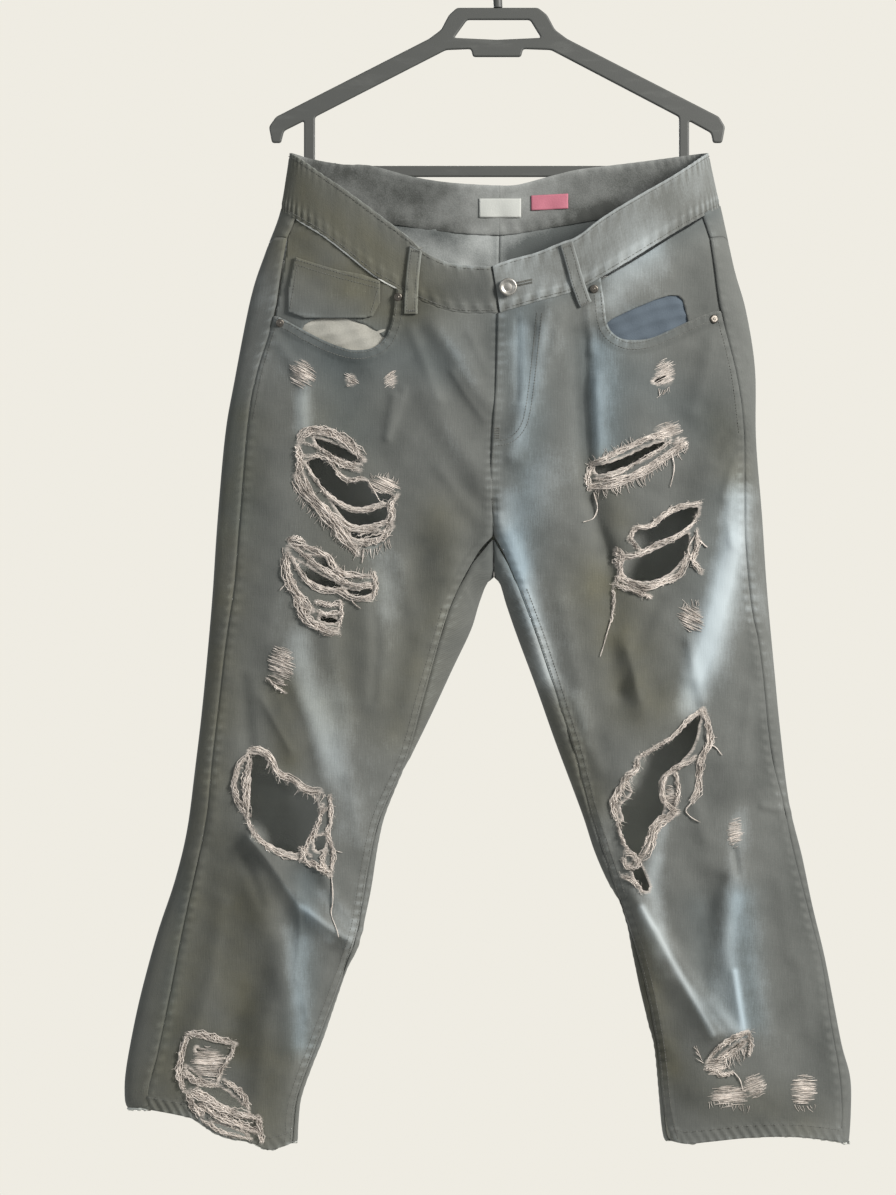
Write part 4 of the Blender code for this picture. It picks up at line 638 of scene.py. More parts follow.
def relief(side, across, down):
    """What sewing adds to a front panel: folded edges, their puckers and the dip at each seam."""
    mouth, mouth_at = line_distance(MOUTH_LINE[side], across, down)
    in_mouth = step_up(MOUTH_BAND - mouth)
    lift = in_mouth * (0.8 + 0.22 * pucker(mouth_at, 8))
    above = hem_above(side, across, down)
    lift += step_up(HEM_BAND - above) * (1.0 + 0.7 * pucker(across + 0.7 * above, 9))
    outer = side_seam_away(side, across, down)
    lift -= 0.15 * bell(outer, 1.2)
    lift += (0.6 + 0.6 * pucker(down, 11)) * bell(outer - 5, 3.5)
    inner = inner_away(side, across, down)
    below_fly = ease((down - 440) / 12)
    lift += below_fly * step_up(INSEAM_BAND - inner) * (0.6 + 0.3 * pucker(down, 9))
    lift -= 0.1 * bell(inner, 1.4) * below_fly
    return lift


def front_face(side, across, down):
    return front_depth(across, down) - fly_lift(side, across, down) - relief(side, across, down)


def front_spots(side, across, down, lift=0.0, face=front_face):
    """Places in metres on the front of a panel, moved out along the cloth's own normal."""
    across, down = (np.asarray(item, float) for item in (across, down))
    here = spot(across, down, face(side, across, down))
    aside = spot(across + 1, down, face(side, across + 1, down)) - here
    below = spot(across, down + 1, face(side, across, down + 1)) - here
    normal = np.cross(below, aside)
    normal /= np.linalg.norm(normal, axis=-1, keepdims=True)
    normal *= np.where(normal[..., 1:2] > 0, -1, 1)
    return here + normal * np.asarray(lift, float)[..., None] * MM


def ragged(outline, amount=0.7):
    """A rip's outline with the small unevenness of torn cloth."""
    ring = smooth((*outline, outline[0]), 5)[:-1]
    turn = np.arange(len(ring))
    ring[:, 0] += amount * np.sin(2.7 * turn + outline[0][0])
    ring[:, 1] += amount * np.sin(3.9 * turn + outline[0][1])
    return ring


def inside_ring(ring, across, down):
    """Whether places lie inside a closed outline."""
    inside = np.zeros(np.shape(across), bool)
    for (x1, y1), (x2, y2) in zip(ring, np.roll(ring, -1, axis=0)):
        if y1 == y2:
            continue
        crosses = (y1 > down) != (y2 > down)
        inside ^= crosses & (across < (x2 - x1) * (down - y1) / (y2 - y1) + x1)
    return inside


def nearest_on_ring(ring, place):
    starts = ring
    steps = np.roll(ring, -1, axis=0) - ring
    part = np.clip(((place - starts) * steps).sum(1) / (steps ** 2).sum(1), 0, 1)
    spots = starts + steps * part[:, None]
    return spots[np.argmin(((spots - place) ** 2).sum(1))]


def bareness(side, across, down):
    """How far the blue warp has gone, next to the rips and over the frayed patches."""
    bare = np.zeros(np.shape(across))
    for outline in RIPS[side]:
        ring = ragged(outline)
        low, high = ring.min(0) - 14, ring.max(0) + 14
        near = (across > low[0]) & (across < high[0]) & (down > low[1]) & (down < high[1])
        away, _ = line_distance([*map(tuple, ring), tuple(ring[0])], across[near], down[near])
        bare[near] = np.maximum(bare[near], 0.95 * bell(away, 3.4))
    for owner, _, shown in THREADS.values():
        if owner != side:
            continue
        for mark in shown:
            if mark[0] == BAND:
                away, _ = line_distance(mark[1], across, down)
                bare = np.maximum(bare, 0.85 * bell(away, 0.42 * mark[2] + 0.8))
            elif mark[0] == PATCH:
                (mid_across, mid_down), (wide, high) = mark[1][0], mark[2:4]
                reach = ((across - mid_across) / wide) ** 2 + ((down - mid_down) / high) ** 2
                bare = np.maximum(bare, 0.75 * np.exp(-(reach ** 1.5) * 1.1))
    return bare


class Shade:
    """A shader value, so that sums on it read as plain Python."""

    def __init__(self, finish, socket):
        self.finish = finish
        self.socket = socket

    def math(self, operation, first, second):
        return self.finish.node("ShaderNodeMath", {"operation": operation}, {0: first, 1: second})["Value"]

    def __add__(self, other):
        return self.math("ADD", self, other)

    def __radd__(self, other):
        return self.math("ADD", other, self)

    def __sub__(self, other):
        return self.math("SUBTRACT", self, other)

    def __mul__(self, other):
        return self.math("MULTIPLY", self, other)

    def sine(self):
        return self.math("SINE", self, 0)


class Finish:
    """A material under construction: every node comes from one method."""

    def __init__(self, name, roughness=0.9, metallic=0.0, sheen=0.0):
        self.material = bpy.data.materials.new(name)
        self.material.use_nodes = True
        self.tree = self.material.node_tree
        self.shader = self.tree.nodes["Principled BSDF"]
        for key, value in (("Roughness", roughness), ("Metallic", metallic), ("Sheen Weight", sheen),
                           ("Sheen Roughness", 0.5)):
            self.shader.inputs[key].default_value = value

    def node(self, kind, settings=None, feeds=None):
        made = self.tree.nodes.new(kind)
        for key, value in (settings or {}).items():
            setattr(made, key, value)
        for key, value in (feeds or {}).items():
            socket = made.inputs[key]
            if isinstance(value, Shade):
                self.tree.links.new(value.socket, socket)
            else:
                socket.default_value = value
        return {out.identifier: Shade(self, out) for out in made.outputs}

    def mix(self, factor, first, second, blend="MIX"):
        made = self.tree.nodes.new("ShaderNodeMix")
        made.data_type = "RGBA"
        made.blend_type = blend
        made.clamp_factor = True
        by_name = {socket.identifier: socket for socket in made.inputs}
        for key, value in (("Factor_Float", factor), ("A_Color", first), ("B_Color", second)):
            if isinstance(value, Shade):
                self.tree.links.new(value.socket, by_name[key])
            else:
                by_name[key].default_value = value
        outs = {socket.identifier: socket for socket in made.outputs}
        return Shade(self, outs["Result_Color"])

    def noise(self, place, scale, detail=2.0, roughness=0.5):
        return self.node("ShaderNodeTexNoise", {}, {"Vector": place, "Scale": scale, "Detail": detail,
                                                    "Roughness": roughness})["Fac"]

    def stretched(self, place, scale):
        return self.node("ShaderNodeMapping", {"vector_type": "POINT"},
                         {"Vector": place, "Scale": scale})["Vector"]

    def attribute(self, name):
        settings = {"attribute_type": "GEOMETRY", "attribute_name": name}
        return self.node("ShaderNodeAttribute", settings)["Fac"]

    def object_place(self):
        return self.node("ShaderNodeTexCoord")["Object"]

    def sheet_place(self):
        return self.node("ShaderNodeUVMap", {"uv_map": "Cloth"})["UV"]

    def bump(self, height, distance, strength=1.0):
        normal = self.node("ShaderNodeBump", {}, {"Height": height, "Distance": distance,
                                                  "Strength": strength})["Normal"]
        self.tree.links.new(normal.socket, self.shader.inputs["Normal"])

    def link(self, value, name):
        self.tree.links.new(value.socket, self.shader.inputs[name])
        return self.material


def denim_finish(name, sizes):
    """Washed twill: slubby warp, mottled dye, light wear with painted highlights and painted shade, brown
    grime with painted warm shade, a bluish tint with painted cool light, and bare weft by the rips.
    """
    finish = Finish(name, roughness=0.92, sheen=0.12)
    place = finish.sheet_place()
    warp = finish.noise(finish.stretched(place, (900.0, 60.0, 1.0)), 1.0, 2.0)
    weft = finish.noise(finish.stretched(place, (70.0, 1100.0, 1.0)), 1.0, 2.0)
    cloud = finish.noise(place, 26.0, 3.0)
    patch = finish.noise(place, 95.0, 3.0, 0.6)
    grain = finish.noise(place, 520.0, 2.0, 0.7)
    axes = finish.node("ShaderNodeSeparateXYZ", {}, {"Vector": place})
    twill = ((axes["X"] * 0.62 + axes["Y"]) * (2 * math.pi / sizes.twill_pitch)).sine() * 0.5 + 0.5
    # The tone takes in the wear attribute, which holds painted highlights and painted shade as well as worn
    # dye
    depth = (0.415 + finish.attribute("wear") * 0.5 + (cloud - 0.5) * 0.22 + (patch - 0.5) * 0.12
             + (warp - 0.5) * 0.16 + (grain - 0.5) * 0.14 + (twill - 0.5) * 0.05)
    colour = finish.mix(depth * 2.2, (*sizes.denim_dark, 1), (*sizes.denim_mid, 1))
    colour = finish.mix((depth - 0.45) * 1.8, colour, (*sizes.denim_light, 1))
    # The olive tint paints warm shade as well as grime, and the bluish tint paints cool light as well as dye
    grime = 0.03 + finish.attribute("grime") * (0.8 + (cloud - 0.5) * 1.4)
    colour = finish.mix(grime, colour, (*sizes.grime, 1), "MULTIPLY")
    colour = finish.mix(finish.attribute("blue"), colour, (*sizes.indigo_and_cool_light_tint, 1), "MULTIPLY")
    thread = finish.noise(finish.stretched(place, (160.0, 1500.0, 1.0)), 1.0, 3.0, 0.6)
    bare = finish.attribute("bare") * ((thread - 0.5) * 4.4 + (patch - 0.5) * 1.6 + 1.7) - 0.62
    yarn = finish.mix(thread, (*sizes.yarn_shade, 1), (*sizes.yarn, 1))
    colour = finish.mix(bare, colour, yarn)
    frayed_height = thread * finish.attribute("bare") * 3.0
    finish.bump(twill * 0.25 + warp * 0.6 + weft * 0.3 + grain * 0.5 + frayed_height, sizes.weave_depth)
    return finish.link(colour, "Base Color")


def plain_cloth_finish(name, colour, shade, scale=700.0, roughness=0.9):
    finish = Finish(name, roughness=roughness, sheen=0.1)
    place = finish.object_place()
    fine = finish.noise(place, scale, 3.0, 0.7)
    cloud = finish.noise(place, 45.0, 3.0)
    # The inside attribute adds painted shade and painted highlights to inner faces
    tone = fine * 0.5 + cloud * 0.7 - 0.1 + finish.attribute("inside")
    base = finish.mix(tone, (*shade, 1), (*colour, 1))
    finish.bump(fine, 0.0003)
    return finish.link(base, "Base Color")


def yarn_finish(name, colour, shade):
    """Spun cotton: fibres along the thread and a change of tone from one bundle to the next."""
    finish = Finish(name, roughness=0.95, sheen=0.25)
    place = finish.object_place()
    bundle = finish.noise(place, 90.0, 2.0)
    fibre = finish.noise(finish.stretched(place, (500.0, 900.0, 1900.0)), 1.0, 2.0, 0.7)
    tone = bundle * 2.6 + fibre * 1.0 - 1.15
    base = finish.mix(tone, (*shade, 1), (*colour, 1))
    finish.bump(fibre, 0.0004)
    return finish.link(base, "Base Color")


def plastic_finish(name, colour):
    finish = Finish(name, roughness=0.5)
    place = finish.object_place()
    fine = finish.noise(place, 900.0, 2.0)
    scuff = finish.noise(finish.stretched(place, (20.0, 60.0, 90.0)), 1.0, 4.0, 0.7)
    base = finish.mix((scuff - 0.55) * 3, (*colour, 1), tuple(1.5 * part for part in colour) + (1,))
    finish.link(0.44 + scuff * 0.18, "Roughness")
    finish.bump(fine, 0.00008)
    return finish.link(base, "Base Color")


def metal_finish(name, colour, tarnish):
    finish = Finish(name, roughness=0.38, metallic=1.0)
    place = finish.object_place()
    stain = finish.noise(place, 260.0, 4.0, 0.7)
    rub = finish.noise(place, 1400.0, 2.0)
    base = finish.mix((stain - 0.42) * 3.2, (*colour, 1), (*tarnish, 1))
    finish.link(0.30 + stain * 0.35, "Roughness")
    finish.bump(rub, 0.00006)
    return finish.link(base, "Base Color")


MADE = {}


def made(name, maker, *details):
    """A material, made once."""
    if name not in MADE:
        MADE[name] = maker(name, *details)
    return MADE[name]


def denim(sizes):
    return made("washed_denim", denim_finish, sizes)


def leg_wrong_side():
    """The inner face of the legs, as it shows through the rips: the paler wrong side of the denim, painted
    paler still as light for the dim inside of the legs.
    """
    return made("leg_wrong_side", plain_cloth_finish, (0.66, 0.67, 0.62), (0.50, 0.51, 0.47))


def yoke_wrong_side():
    return made("yoke_wrong_side", plain_cloth_finish, (0.50, 0.52, 0.50), (0.10, 0.11, 0.105))


def finish_piece(obj, slot_name, *replaced):
    """Every piece rides on the one body, and the solids that it stands for are hidden; its slot name is not
    used.
    """
    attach(obj, "root")
    if replaced:
        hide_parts(*replaced)
    return obj


def linked(obj, *materials):
    for item in materials:
        obj.data.materials.append(item)
    bpy.context.scene.collection.objects.link(obj)
    return obj


def walled(obj, wall, lift=0.0, inside=0, even=False):
    """Cloth of this wall, whose outer face lies lift outside the sheet's points."""
    solid = obj.modifiers.new("Wall", "SOLIDIFY")
    solid.thickness = wall * MM
    solid.offset = 2 * lift / wall - 1
    solid.use_even_offset = even
    solid.material_offset = inside
    return obj


def cloth_piece(name, mesh, looks, wall, slot_name="denim", lift=0.0):
    """A sheet with its wall, standing for the solid of the same name; a second look is for its inside."""
    piece = linked(bpy.data.objects.new(f"{name}_cloth", mesh), *looks)
    walled(piece, wall, lift, inside=len(looks) - 1)
    return finish_piece(piece, slot_name, name)


def keep_values(mesh, **values):
    for name, numbers in values.items():
        layer = mesh.attributes.new(name, "FLOAT", "POINT")
        layer.data.foreach_set("value", np.ascontiguousarray(numbers, np.float32))


class Cloth:
    """A fine grid of cloth: its own two parts, its places on the sheet, and its faces."""

    def __init__(self, columns, rows):
        self.shell = bmesh.new()
        bmesh.ops.create_grid(self.shell, x_segments=columns, y_segments=rows, size=0.5)
        self.shell.verts.ensure_lookup_table()
        parts = np.array([vert.co[:2] for vert in self.shell.verts]) + 0.5
        self.u, self.v = parts[:, 0], parts[:, 1].round(6)
        self.number = self.shell.verts.layers.int.new("number")
        for number, vert in enumerate(self.shell.verts):
            vert[self.number] = number
        self.across = self.down = None

    def drop(self, ring, keep_inside=False):
        """Cuts an outline out, and draws the edge that is left onto it."""
        faces = list(self.shell.faces)
        corners = np.array([[vert.index for vert in face.verts] for face in faces])
        middle = (self.across[corners].mean(1), self.down[corners].mean(1))
        gone = inside_ring(ring, *middle) != keep_inside
        if not gone.any():
            return
        leaving = set(corners[gone].ravel())
        staying = set(corners[~gone].ravel())
        for index in leaving & staying:
            place = np.array((self.across[index], self.down[index]))
            self.across[index], self.down[index] = nearest_on_ring(ring, place)
        bmesh.ops.delete(self.shell, geom=[face for face, out in zip(faces, gone) if out], context="FACES")
        self.renumber()

    def renumber(self):
        """Keeps the values of the verts that are left."""
        old = np.array([vert[self.number] for vert in self.shell.verts])
        for name in ("u", "v", "across", "down"):
            setattr(self, name, getattr(self, name)[old])
        for number, vert in enumerate(self.shell.verts):
            vert[self.number] = number
        self.shell.verts.index_update()

    def mesh(self, name, places, outward):
        for vert, place in zip(self.shell.verts, places):
            vert.co = place
        layer = self.shell.loops.layers.uv.new("Cloth")
        for face in self.shell.faces:
            for loop in face.loops:
                index = loop.vert.index
                loop[layer].uv = (self.across[index] * MM, self.down[index] * MM)
        self.shell.normal_update()
        facing = sum((face.normal for face in self.shell.faces), Vector())
        if facing.dot(Vector(outward)) < 0:
            bmesh.ops.reverse_faces(self.shell, faces=self.shell.faces)
        mesh = bpy.data.meshes.new(name)
        self.shell.to_mesh(mesh)
        self.shell.free()
        mesh.shade_smooth()
        return mesh


def skin_of(mesh):
    return BVHTree.FromPolygons([vert.co for vert in mesh.vertices],
                                [tuple(face.vertices) for face in mesh.polygons])


def outer_stations(side):
    seam = SIDE_SEAM[side]
    top = np.concatenate(([seam[0][1]], np.linspace(YOKE_SIDE_DOWN, CROTCH_ROW_DOWN, ROWS_TOP)))
    return np.concatenate((top, np.linspace(CROTCH_ROW_DOWN, seam[-1][1], ROWS_LEG + 1)[1:]))


def inseam_stations(side):
    seam = INSEAM[side]
    return np.linspace(seam[0][1], seam[-1][1], ROWS_LEG + 1)


def at_row(stations, v):
    return np.interp(v * ROWS, range(ROWS + 1), stations)


def front_sheet(side, u, v):
    """Sheet places of a front panel, from its four sewn edges."""
    outer_down = at_row(outer_stations(side), v)
    outer = np.stack((read(SIDE_SEAM[side], outer_down), outer_down))
    seam = CENTRE_FRONT[side]
    downs = np.linspace(seam[0][1], seam[-1][1], ROWS_TOP + 1)
    inner_down = at_row(np.concatenate((downs[:-1], inseam_stations(side))), v)
    leg_across = read(INSEAM[side], inner_down)
    inner_across = np.where(inner_down < seam[-1][1], read(seam, inner_down), leg_across)
    inner = np.stack((inner_across, inner_down))
    corner = {(0, 0): SIDE_SEAM[side][0], (1, 0): seam[0],
              (0, 1): SIDE_SEAM[side][-1], (1, 1): INSEAM[side][-1]}
    corner = {key: np.array(value, float)[:, None] for key, value in corner.items()}
    edges = (1 - u) * outer + u * inner
    ends = []
    for end, route in ((0, WAIST_SEAM[side]), (1, HEM[side])):
        across = corner[0, end][0] + (corner[1, end][0] - corner[0, end][0]) * u
        ends.append(np.stack((across, read(route, across, by_down=False))))
    straight = ((1 - v) * ((1 - u) * corner[0, 0] + u * corner[1, 0])
                + v * ((1 - u) * corner[0, 1] + u * corner[1, 1]))
    return edges + (1 - v) * ends[0] + v * ends[1] - straight


def front_values(side, across, down):
    """Wear with painted highlights and shade, grime with painted warm shade, bluish tint with painted cool
    light, and bareness of the front, from its edges, folds and listed strokes.
    """
    mouth, mouth_at = line_distance(MOUTH_LINE[side], across, down)
    above = hem_above(side, across, down)
    outer = side_seam_away(side, across, down)
    inner = inner_away(side, across, down)
    wear = tone(across, down)
    wear += 0.22 * bell(mouth, 1.6)
    # Wear on the puckers of the mouth band, and a painted shade line where the band steps down to the panel
    wear += bell(mouth, 8) * 0.16 * pucker(mouth_at, 8) - 0.12 * bell(mouth - 12, 2.5)
    wear += 0.22 * bell(above, 2.0) + 0.24 * bell(above, 14) * pucker(across + 0.7 * above, 9)
    wear += 0.3 * bell(outer - 4, 2.6) * (0.3 + 0.7 * pucker(down, 11))
    wear += 0.28 * bell(inner - 4, 4.5) * (0.3 + 0.7 * pucker(down, 9))
    # Painted highlights on the ridges of the fine folds and painted shade in their troughs
    wear += 0.045 * strokes(FINE_FOLDS, across, down)
    return {"wear": wear, "grime": stains(GRIME_AND_WARM_SHADE_STROKES, across, down), "blue": stains(COOL_LIGHT_AND_INDIGO_STROKES, across, down),
            "bare": bareness(side, across, down)}


def front_panel(side, sizes):
    cloth = Cloth(sizes.front_columns, sizes.front_rows)
    cloth.across, cloth.down = front_sheet(side, cloth.u, cloth.v)
    cloth.drop(smooth((*POCKET_MOUTH[side], POCKET_MOUTH[side][0]), 4)[:-1])
    for outline in RIPS[side]:
        cloth.drop(ragged(outline))
    places = spot(cloth.across, cloth.down, front_face(side, cloth.across, cloth.down))
    values = front_values(side, cloth.across, cloth.down)
    mesh = cloth.mesh(f"front_{side}", places, (0, -1, 0))
    keep_values(mesh, **values)
    looks = (denim(sizes), leg_wrong_side())
    return cloth_piece(f"front_panel_{side}", mesh, looks, sizes.cloth_wall), skin_of(mesh)


def along(points, part):
    """Places on a run of points, by their share of its count."""
    points = np.array(points, float)
    at = np.asarray(part) * (len(points) - 1)
    return np.stack([np.interp(at, range(len(points)), column) for column in points.T], axis=-1)


def ring_place(edges, angle, down):
    """Across and depth on a flattened tube: angle 0 is its outer edge, a quarter turn its back."""
    outer, inner = edges
    power = np.where(np.sin(angle) > 0, BACK_ROUND, profile(FRONT_ROUND, down))
    reach = (np.abs(np.cos(angle)) ** power + np.abs(np.sin(angle)) ** power) ** (-1 / power)
    across = (outer + inner) / 2 + (outer - inner) / 2 * np.cos(angle) * reach
    return np.stack((across, middle_depth(down) + profile(TUBE_DEPTH, down) / 2 * np.sin(angle) * reach))


def seam_angle(edges, across, down):
    offset = min(0.9999, abs(float(offset_in(edges, across))))
    return math.atan2(float(roundness(offset, profile(FRONT_ROUND, down))), offset)


def back_depth(across, down):
    reach = roundness(offset_in(hip_edges(down), across), BACK_ROUND)
    return middle_depth(down) + profile(TUBE_DEPTH, down) / 2 * reach


def centre_back_stations():
    """The centre back seam, and the crotch curve that ends at the front crotch point."""
    stations = [(CENTRE_BACK, CENTRE_BACK_DOWN, BACK_PLANE)]
    for down in np.linspace(YOKE_CENTRE_DOWN, SEAT_END_DOWN, ROWS_TOP - 3):
        lean = (down - CENTRE_BACK_DOWN) / (SEAT_END_DOWN - CENTRE_BACK_DOWN)
        stations.append((CENTRE_BACK + (CROTCH_ACROSS - CENTRE_BACK) * lean, down, BACK_PLANE))
    return stations + [(CROTCH_ACROSS, down, BACK_PLANE - forward) for down, forward in CROTCH_CURL]


class BackRows:
    """The rows of a back panel, from the side seam round the back to the inner seam."""

    parts = np.linspace(0, 1, ROW_SAMPLES)

    def __init__(self, side):
        self.side = side
        outer = outer_stations(side)
        inner = inseam_stations(side)
        self.outer = np.stack((read(SIDE_SEAM[side], outer), outer), axis=1)
        leg = read(INSEAM[side], inner)
        leg = np.stack((leg, inner, front_depth(leg, inner)), axis=1)
        self.inner = np.vstack((centre_back_stations(), leg))
        self.rise = self.band_rise()

    def turned(self, v, start, end, part, down):
        """Across and depth, between the seat's half tube and the leg's whole one."""
        hip = hip_edges(down) if self.side == RIGHT else hip_edges(down)[::-1]
        leg = leg_edges(self.side, down)
        ends = []
        for place in (start, end):
            here = hip_edges(place[1]) if self.side == RIGHT else hip_edges(place[1])[::-1]
            ends.append((seam_angle(here, place[0], place[1]),
                         seam_angle(leg_edges(self.side, place[1]), place[0], place[1])))
        seat = ring_place(hip, -ends[0][0] + (math.pi / 2 + ends[0][0]) * part, down)
        tube = ring_place(leg, -ends[0][1] + (math.pi + ends[1][1] + ends[0][1]) * part, down)
        return seat + (tube - seat) * ease((v * ROWS - LEG_START_ROW) / LEG_BLEND_ROWS)

    def band_rise(self):
        """How far the top row moves to follow the waistband's lower edge, along that row."""
        start, end = self.outer[0], self.inner[0]
        down = start[1] + (end[1] - start[1]) * self.parts
        across, depth = self.turned(0.0, start, end, self.parts, down)
        behind = read(BAND_SEAM_BACK, across, by_down=False)
        ahead = read(WAIST_SEAM[self.side], across, by_down=False)
        return np.where(depth > middle_depth(down), behind, ahead) - down - 2.0

    def own_half(self, across, down):
        """Keeps places on their own side of the centre back and crotch seam."""
        line = np.interp(down, (CENTRE_BACK_DOWN, SEAT_END_DOWN), (CENTRE_BACK, CROTCH_ACROSS))
        return np.minimum(across, line + 0.2) if self.side == RIGHT else np.maximum(across, line - 0.2)

    def line(self, v):
        """One row's places on the sheet with their depths."""
        part = self.parts
        start, end = along(self.outer, v), along(self.inner, v)
        first = self.turned(v, start, end, np.zeros(1), start[1:])[:, 0]
        last = self.turned(v, start, end, np.ones(1), end[1:2])[:, 0]
        start_spot = np.array((start[0], front_depth(start[0], start[1])))
        past = v * ROWS - ROWS_TOP
        above = math.exp(-(past / DIP_ROWS_ABOVE) ** 2)
        sag = CROTCH_DIP * (math.exp(-past / DIP_ROWS_BELOW) if past > 0 else above)
        steady = max(end[1], CROTCH_LOW + 4 * (past + 1)) if past > -1 else end[1]
        down = start[1] + (steady - start[1]) * part + (end[1] - steady) * part ** 7
        down = down + sag * DIP_TO_ONE * part ** 3 * (1 - part)
        down = down + self.rise * max(0.0, 1 - v * ROWS / 4)
        for _ in range(2):
            place = self.turned(v, start, end, part, down)
            place = place + np.outer(start_spot - first, (1 - part) ** 4)
            place = place + np.outer(end[[0, 2]] - last, part ** 4)
            hem = read(HEM[self.side], place[0], by_down=False) - 1.5 * np.sin(math.pi * part)
            down = down + (hem - down) * ease(v * ROWS - ROWS + 1.5) * (v > 1 - 1.5 / ROWS)
        across = self.own_half(place[0], down)
        behind = ease((place[1] - middle_depth(down)) / BEHIND_FADE)
        creases = strokes(BACK_FOLDS, across, down) + strokes(FINE_BACK_FOLDS, across, down)
        return np.stack((across, down, place[1] + behind * (creases + 0.8 * ripple(across + 300, down))))

    def __call__(self, u, v):
        """Sheet places, depths, and how far along its row each place lies, for a whole grid."""
        found = np.empty((5, len(u)))
        for value in np.unique(v):
            here = v == value
            line = self.line(value)
            lengths = np.concatenate(([0], np.cumsum(np.hypot(*np.diff(line[[0, 2]])))))
            past = value * ROWS - ROWS_TOP
            far = 0.8 * math.exp(-(past / 1.6) ** 2)
            at = u[here] * (lengths[-1] - far)
            found[:3, here] = [np.interp(at, lengths, row) for row in line]
            found[3, here] = at
            found[4, here] = lengths[-1] - at
        return found


BACK_FADES = routes(
    (0.3, 60, 380, 380, 380, 470), (0.3, 60, 612, 380, 612, 470), (0.25, 16, 300, 560, 400, 600, 470, 580),
    (0.25, 16, 700, 560, 600, 600, 520, 580), (0.18, 40, 300, 640, 300, 760),
    (0.18, 40, 690, 640, 700, 760), (0.25, 10, 240, 800, 300, 825, 380, 800),
    (0.25, 10, 770, 800, 700, 828, 610, 800), (-0.15, 30, 230, 900, 220, 1040),
    (-0.15, 30, 740, 900, 760, 1040))


def back_relief(near, far, down, above_hem):
    """What sewing adds to a back panel: the dips at its seams, their puckers and the hem."""
    lift = -0.15 * bell(near, 1.2) + (0.4 + 0.5 * pucker(down, 11)) * bell(near - 5, 3.5)
    lift += step_up(INSEAM_BAND - far) * (0.6 + 0.3 * pucker(down, 9)) - 0.2 * bell(far, 1.6)
    return lift + step_up(HEM_BAND - above_hem) * (0.9 + 0.4 * pucker(near, 9))


def back_piece(name, side, sizes, rows, span, inside):
    cloth = Cloth(sizes.back_columns, rows)
    v = span[0] + (span[1] - span[0]) * cloth.v
    layout = BackRows(side)
    across, down, depth, near, far = layout(cloth.u, v)
    leg_step = (SIDE_SEAM[side][-1][1] - CROTCH_ROW_DOWN) / ROWS_LEG
    above_hem = (1 - v) * ROWS * leg_step
    lift = back_relief(near, far, down, above_hem)
    lift -= 0.5 * np.exp(-((v * ROWS - 1) / 0.05) ** 2)
    ahead = ease((middle_depth(down) - depth) / 8)
    places = spot(across, down, depth)
    flat = places.reshape(rows + 1, sizes.back_columns + 1, 3)
    normal = np.cross(np.gradient(flat, axis=0), np.gradient(flat, axis=1)).reshape(-1, 3)
    normal /= np.maximum(np.linalg.norm(normal, axis=1, keepdims=True), 1e-12)
    middle = spot(*(np.full(1, value) for value in (np.mean(across), np.mean(down), np.min(depth))))[0]
    if np.sum((places - middle) * normal) < 0:
        normal = -normal
    places = places + normal * (lift + ahead * 0.6 * strokes(FINE_FOLDS, across, down))[:, None] * MM
    # The front part takes the front's wear with its painted highlights and painted shade
    wear = ahead * tone(across, down) + (1 - ahead) * strokes(BACK_FADES, across, down)
    wear += 0.22 * bell(above_hem, 2.0) + 0.13 * bell(above_hem, 12) * pucker(near, 9)
    wear += 0.3 * bell(near - 4, 3.4) * (0.3 + 0.7 * pucker(down, 11))
    wear += 0.2 * bell(far - 4, 4) * (0.5 + 0.5 * pucker(down, 9))
    cloth.across, cloth.down = near, down
    mesh = cloth.mesh(name, places, (0, 1, 0))
    # The inside attribute holds painted shade and painted light of the inner face
    keep_values(mesh, wear=wear, grime=np.clip(ahead * strokes(GRIME_AND_WARM_SHADE_STROKES, across, down), 0, 1),
                blue=np.clip(ahead * strokes(COOL_LIGHT_AND_INDIGO_STROKES, across, down), 0, 1),
                bare=ahead * bareness(side, across, down), inside=strokes(INSIDE_PAINTED_LIGHT_AND_SHADE, across, down))
    return cloth_piece(name, mesh, (denim(sizes), inside()), sizes.cloth_wall), skin_of(mesh)


def band_rim(side, level, u):
    """The edge of a waistband: level 0 is its top and 1 its seam; u runs from the front to the back."""
    front, back = ((BAND_TOP_FRONT, BAND_TOP_BACK), (WAIST_SEAM, BAND_SEAM_BACK))[level]
    outer = front[side][0 if side == RIGHT else -1][0]
    hand = -1 if side == RIGHT else 1
    front_end = OVERLAP_END + (UNDER_RUN if side == RIGHT else 0) + BAND_END_SLANT * level
    behind = u > 0.5
    inner = np.where(behind, CENTRE_BACK - hand * 0.8, front_end)
    across = inner + (outer - inner) * np.cos(math.pi * (u - 0.5))
    down = np.where(behind, read(back, across, False), read(front[side], across, False))
    tucked = BAND_TUCK * ease((across - front_end + 13) / 6) if side == RIGHT else 0
    depth = np.where(behind, back_depth(across, down), front_depth(across, down) + tucked)
    return np.stack((across, down, depth))


def band_sheet(side, u, v):
    top = band_rim(side, 0, u)
    return top + (band_rim(side, 1, u) - np.array((0, 0.1, 0))[:, None] - top) * v


def band_spots(side, u, v, lift=0.0):
    """Places in metres on a waistband, moved out along its own normal."""
    u, v = (np.clip(np.asarray(item, float), 0.001, 0.999) for item in (u, v))
    here = spot(*band_sheet(side, u, v))
    aside = spot(*band_sheet(side, u + 0.001, v)) - here
    normal = np.cross(aside, spot(*band_sheet(side, u, v + 0.001)) - here)
    normal /= np.linalg.norm(normal, axis=-1, keepdims=True)
    ring = spot(*band_sheet(side, np.array((0.2, 0.8)), np.array((0.5, 0.5)))).mean(0)
    normal *= np.sign(np.sum((here - ring) * normal))
    return here + normal * np.asarray(lift, float)[..., None] * MM


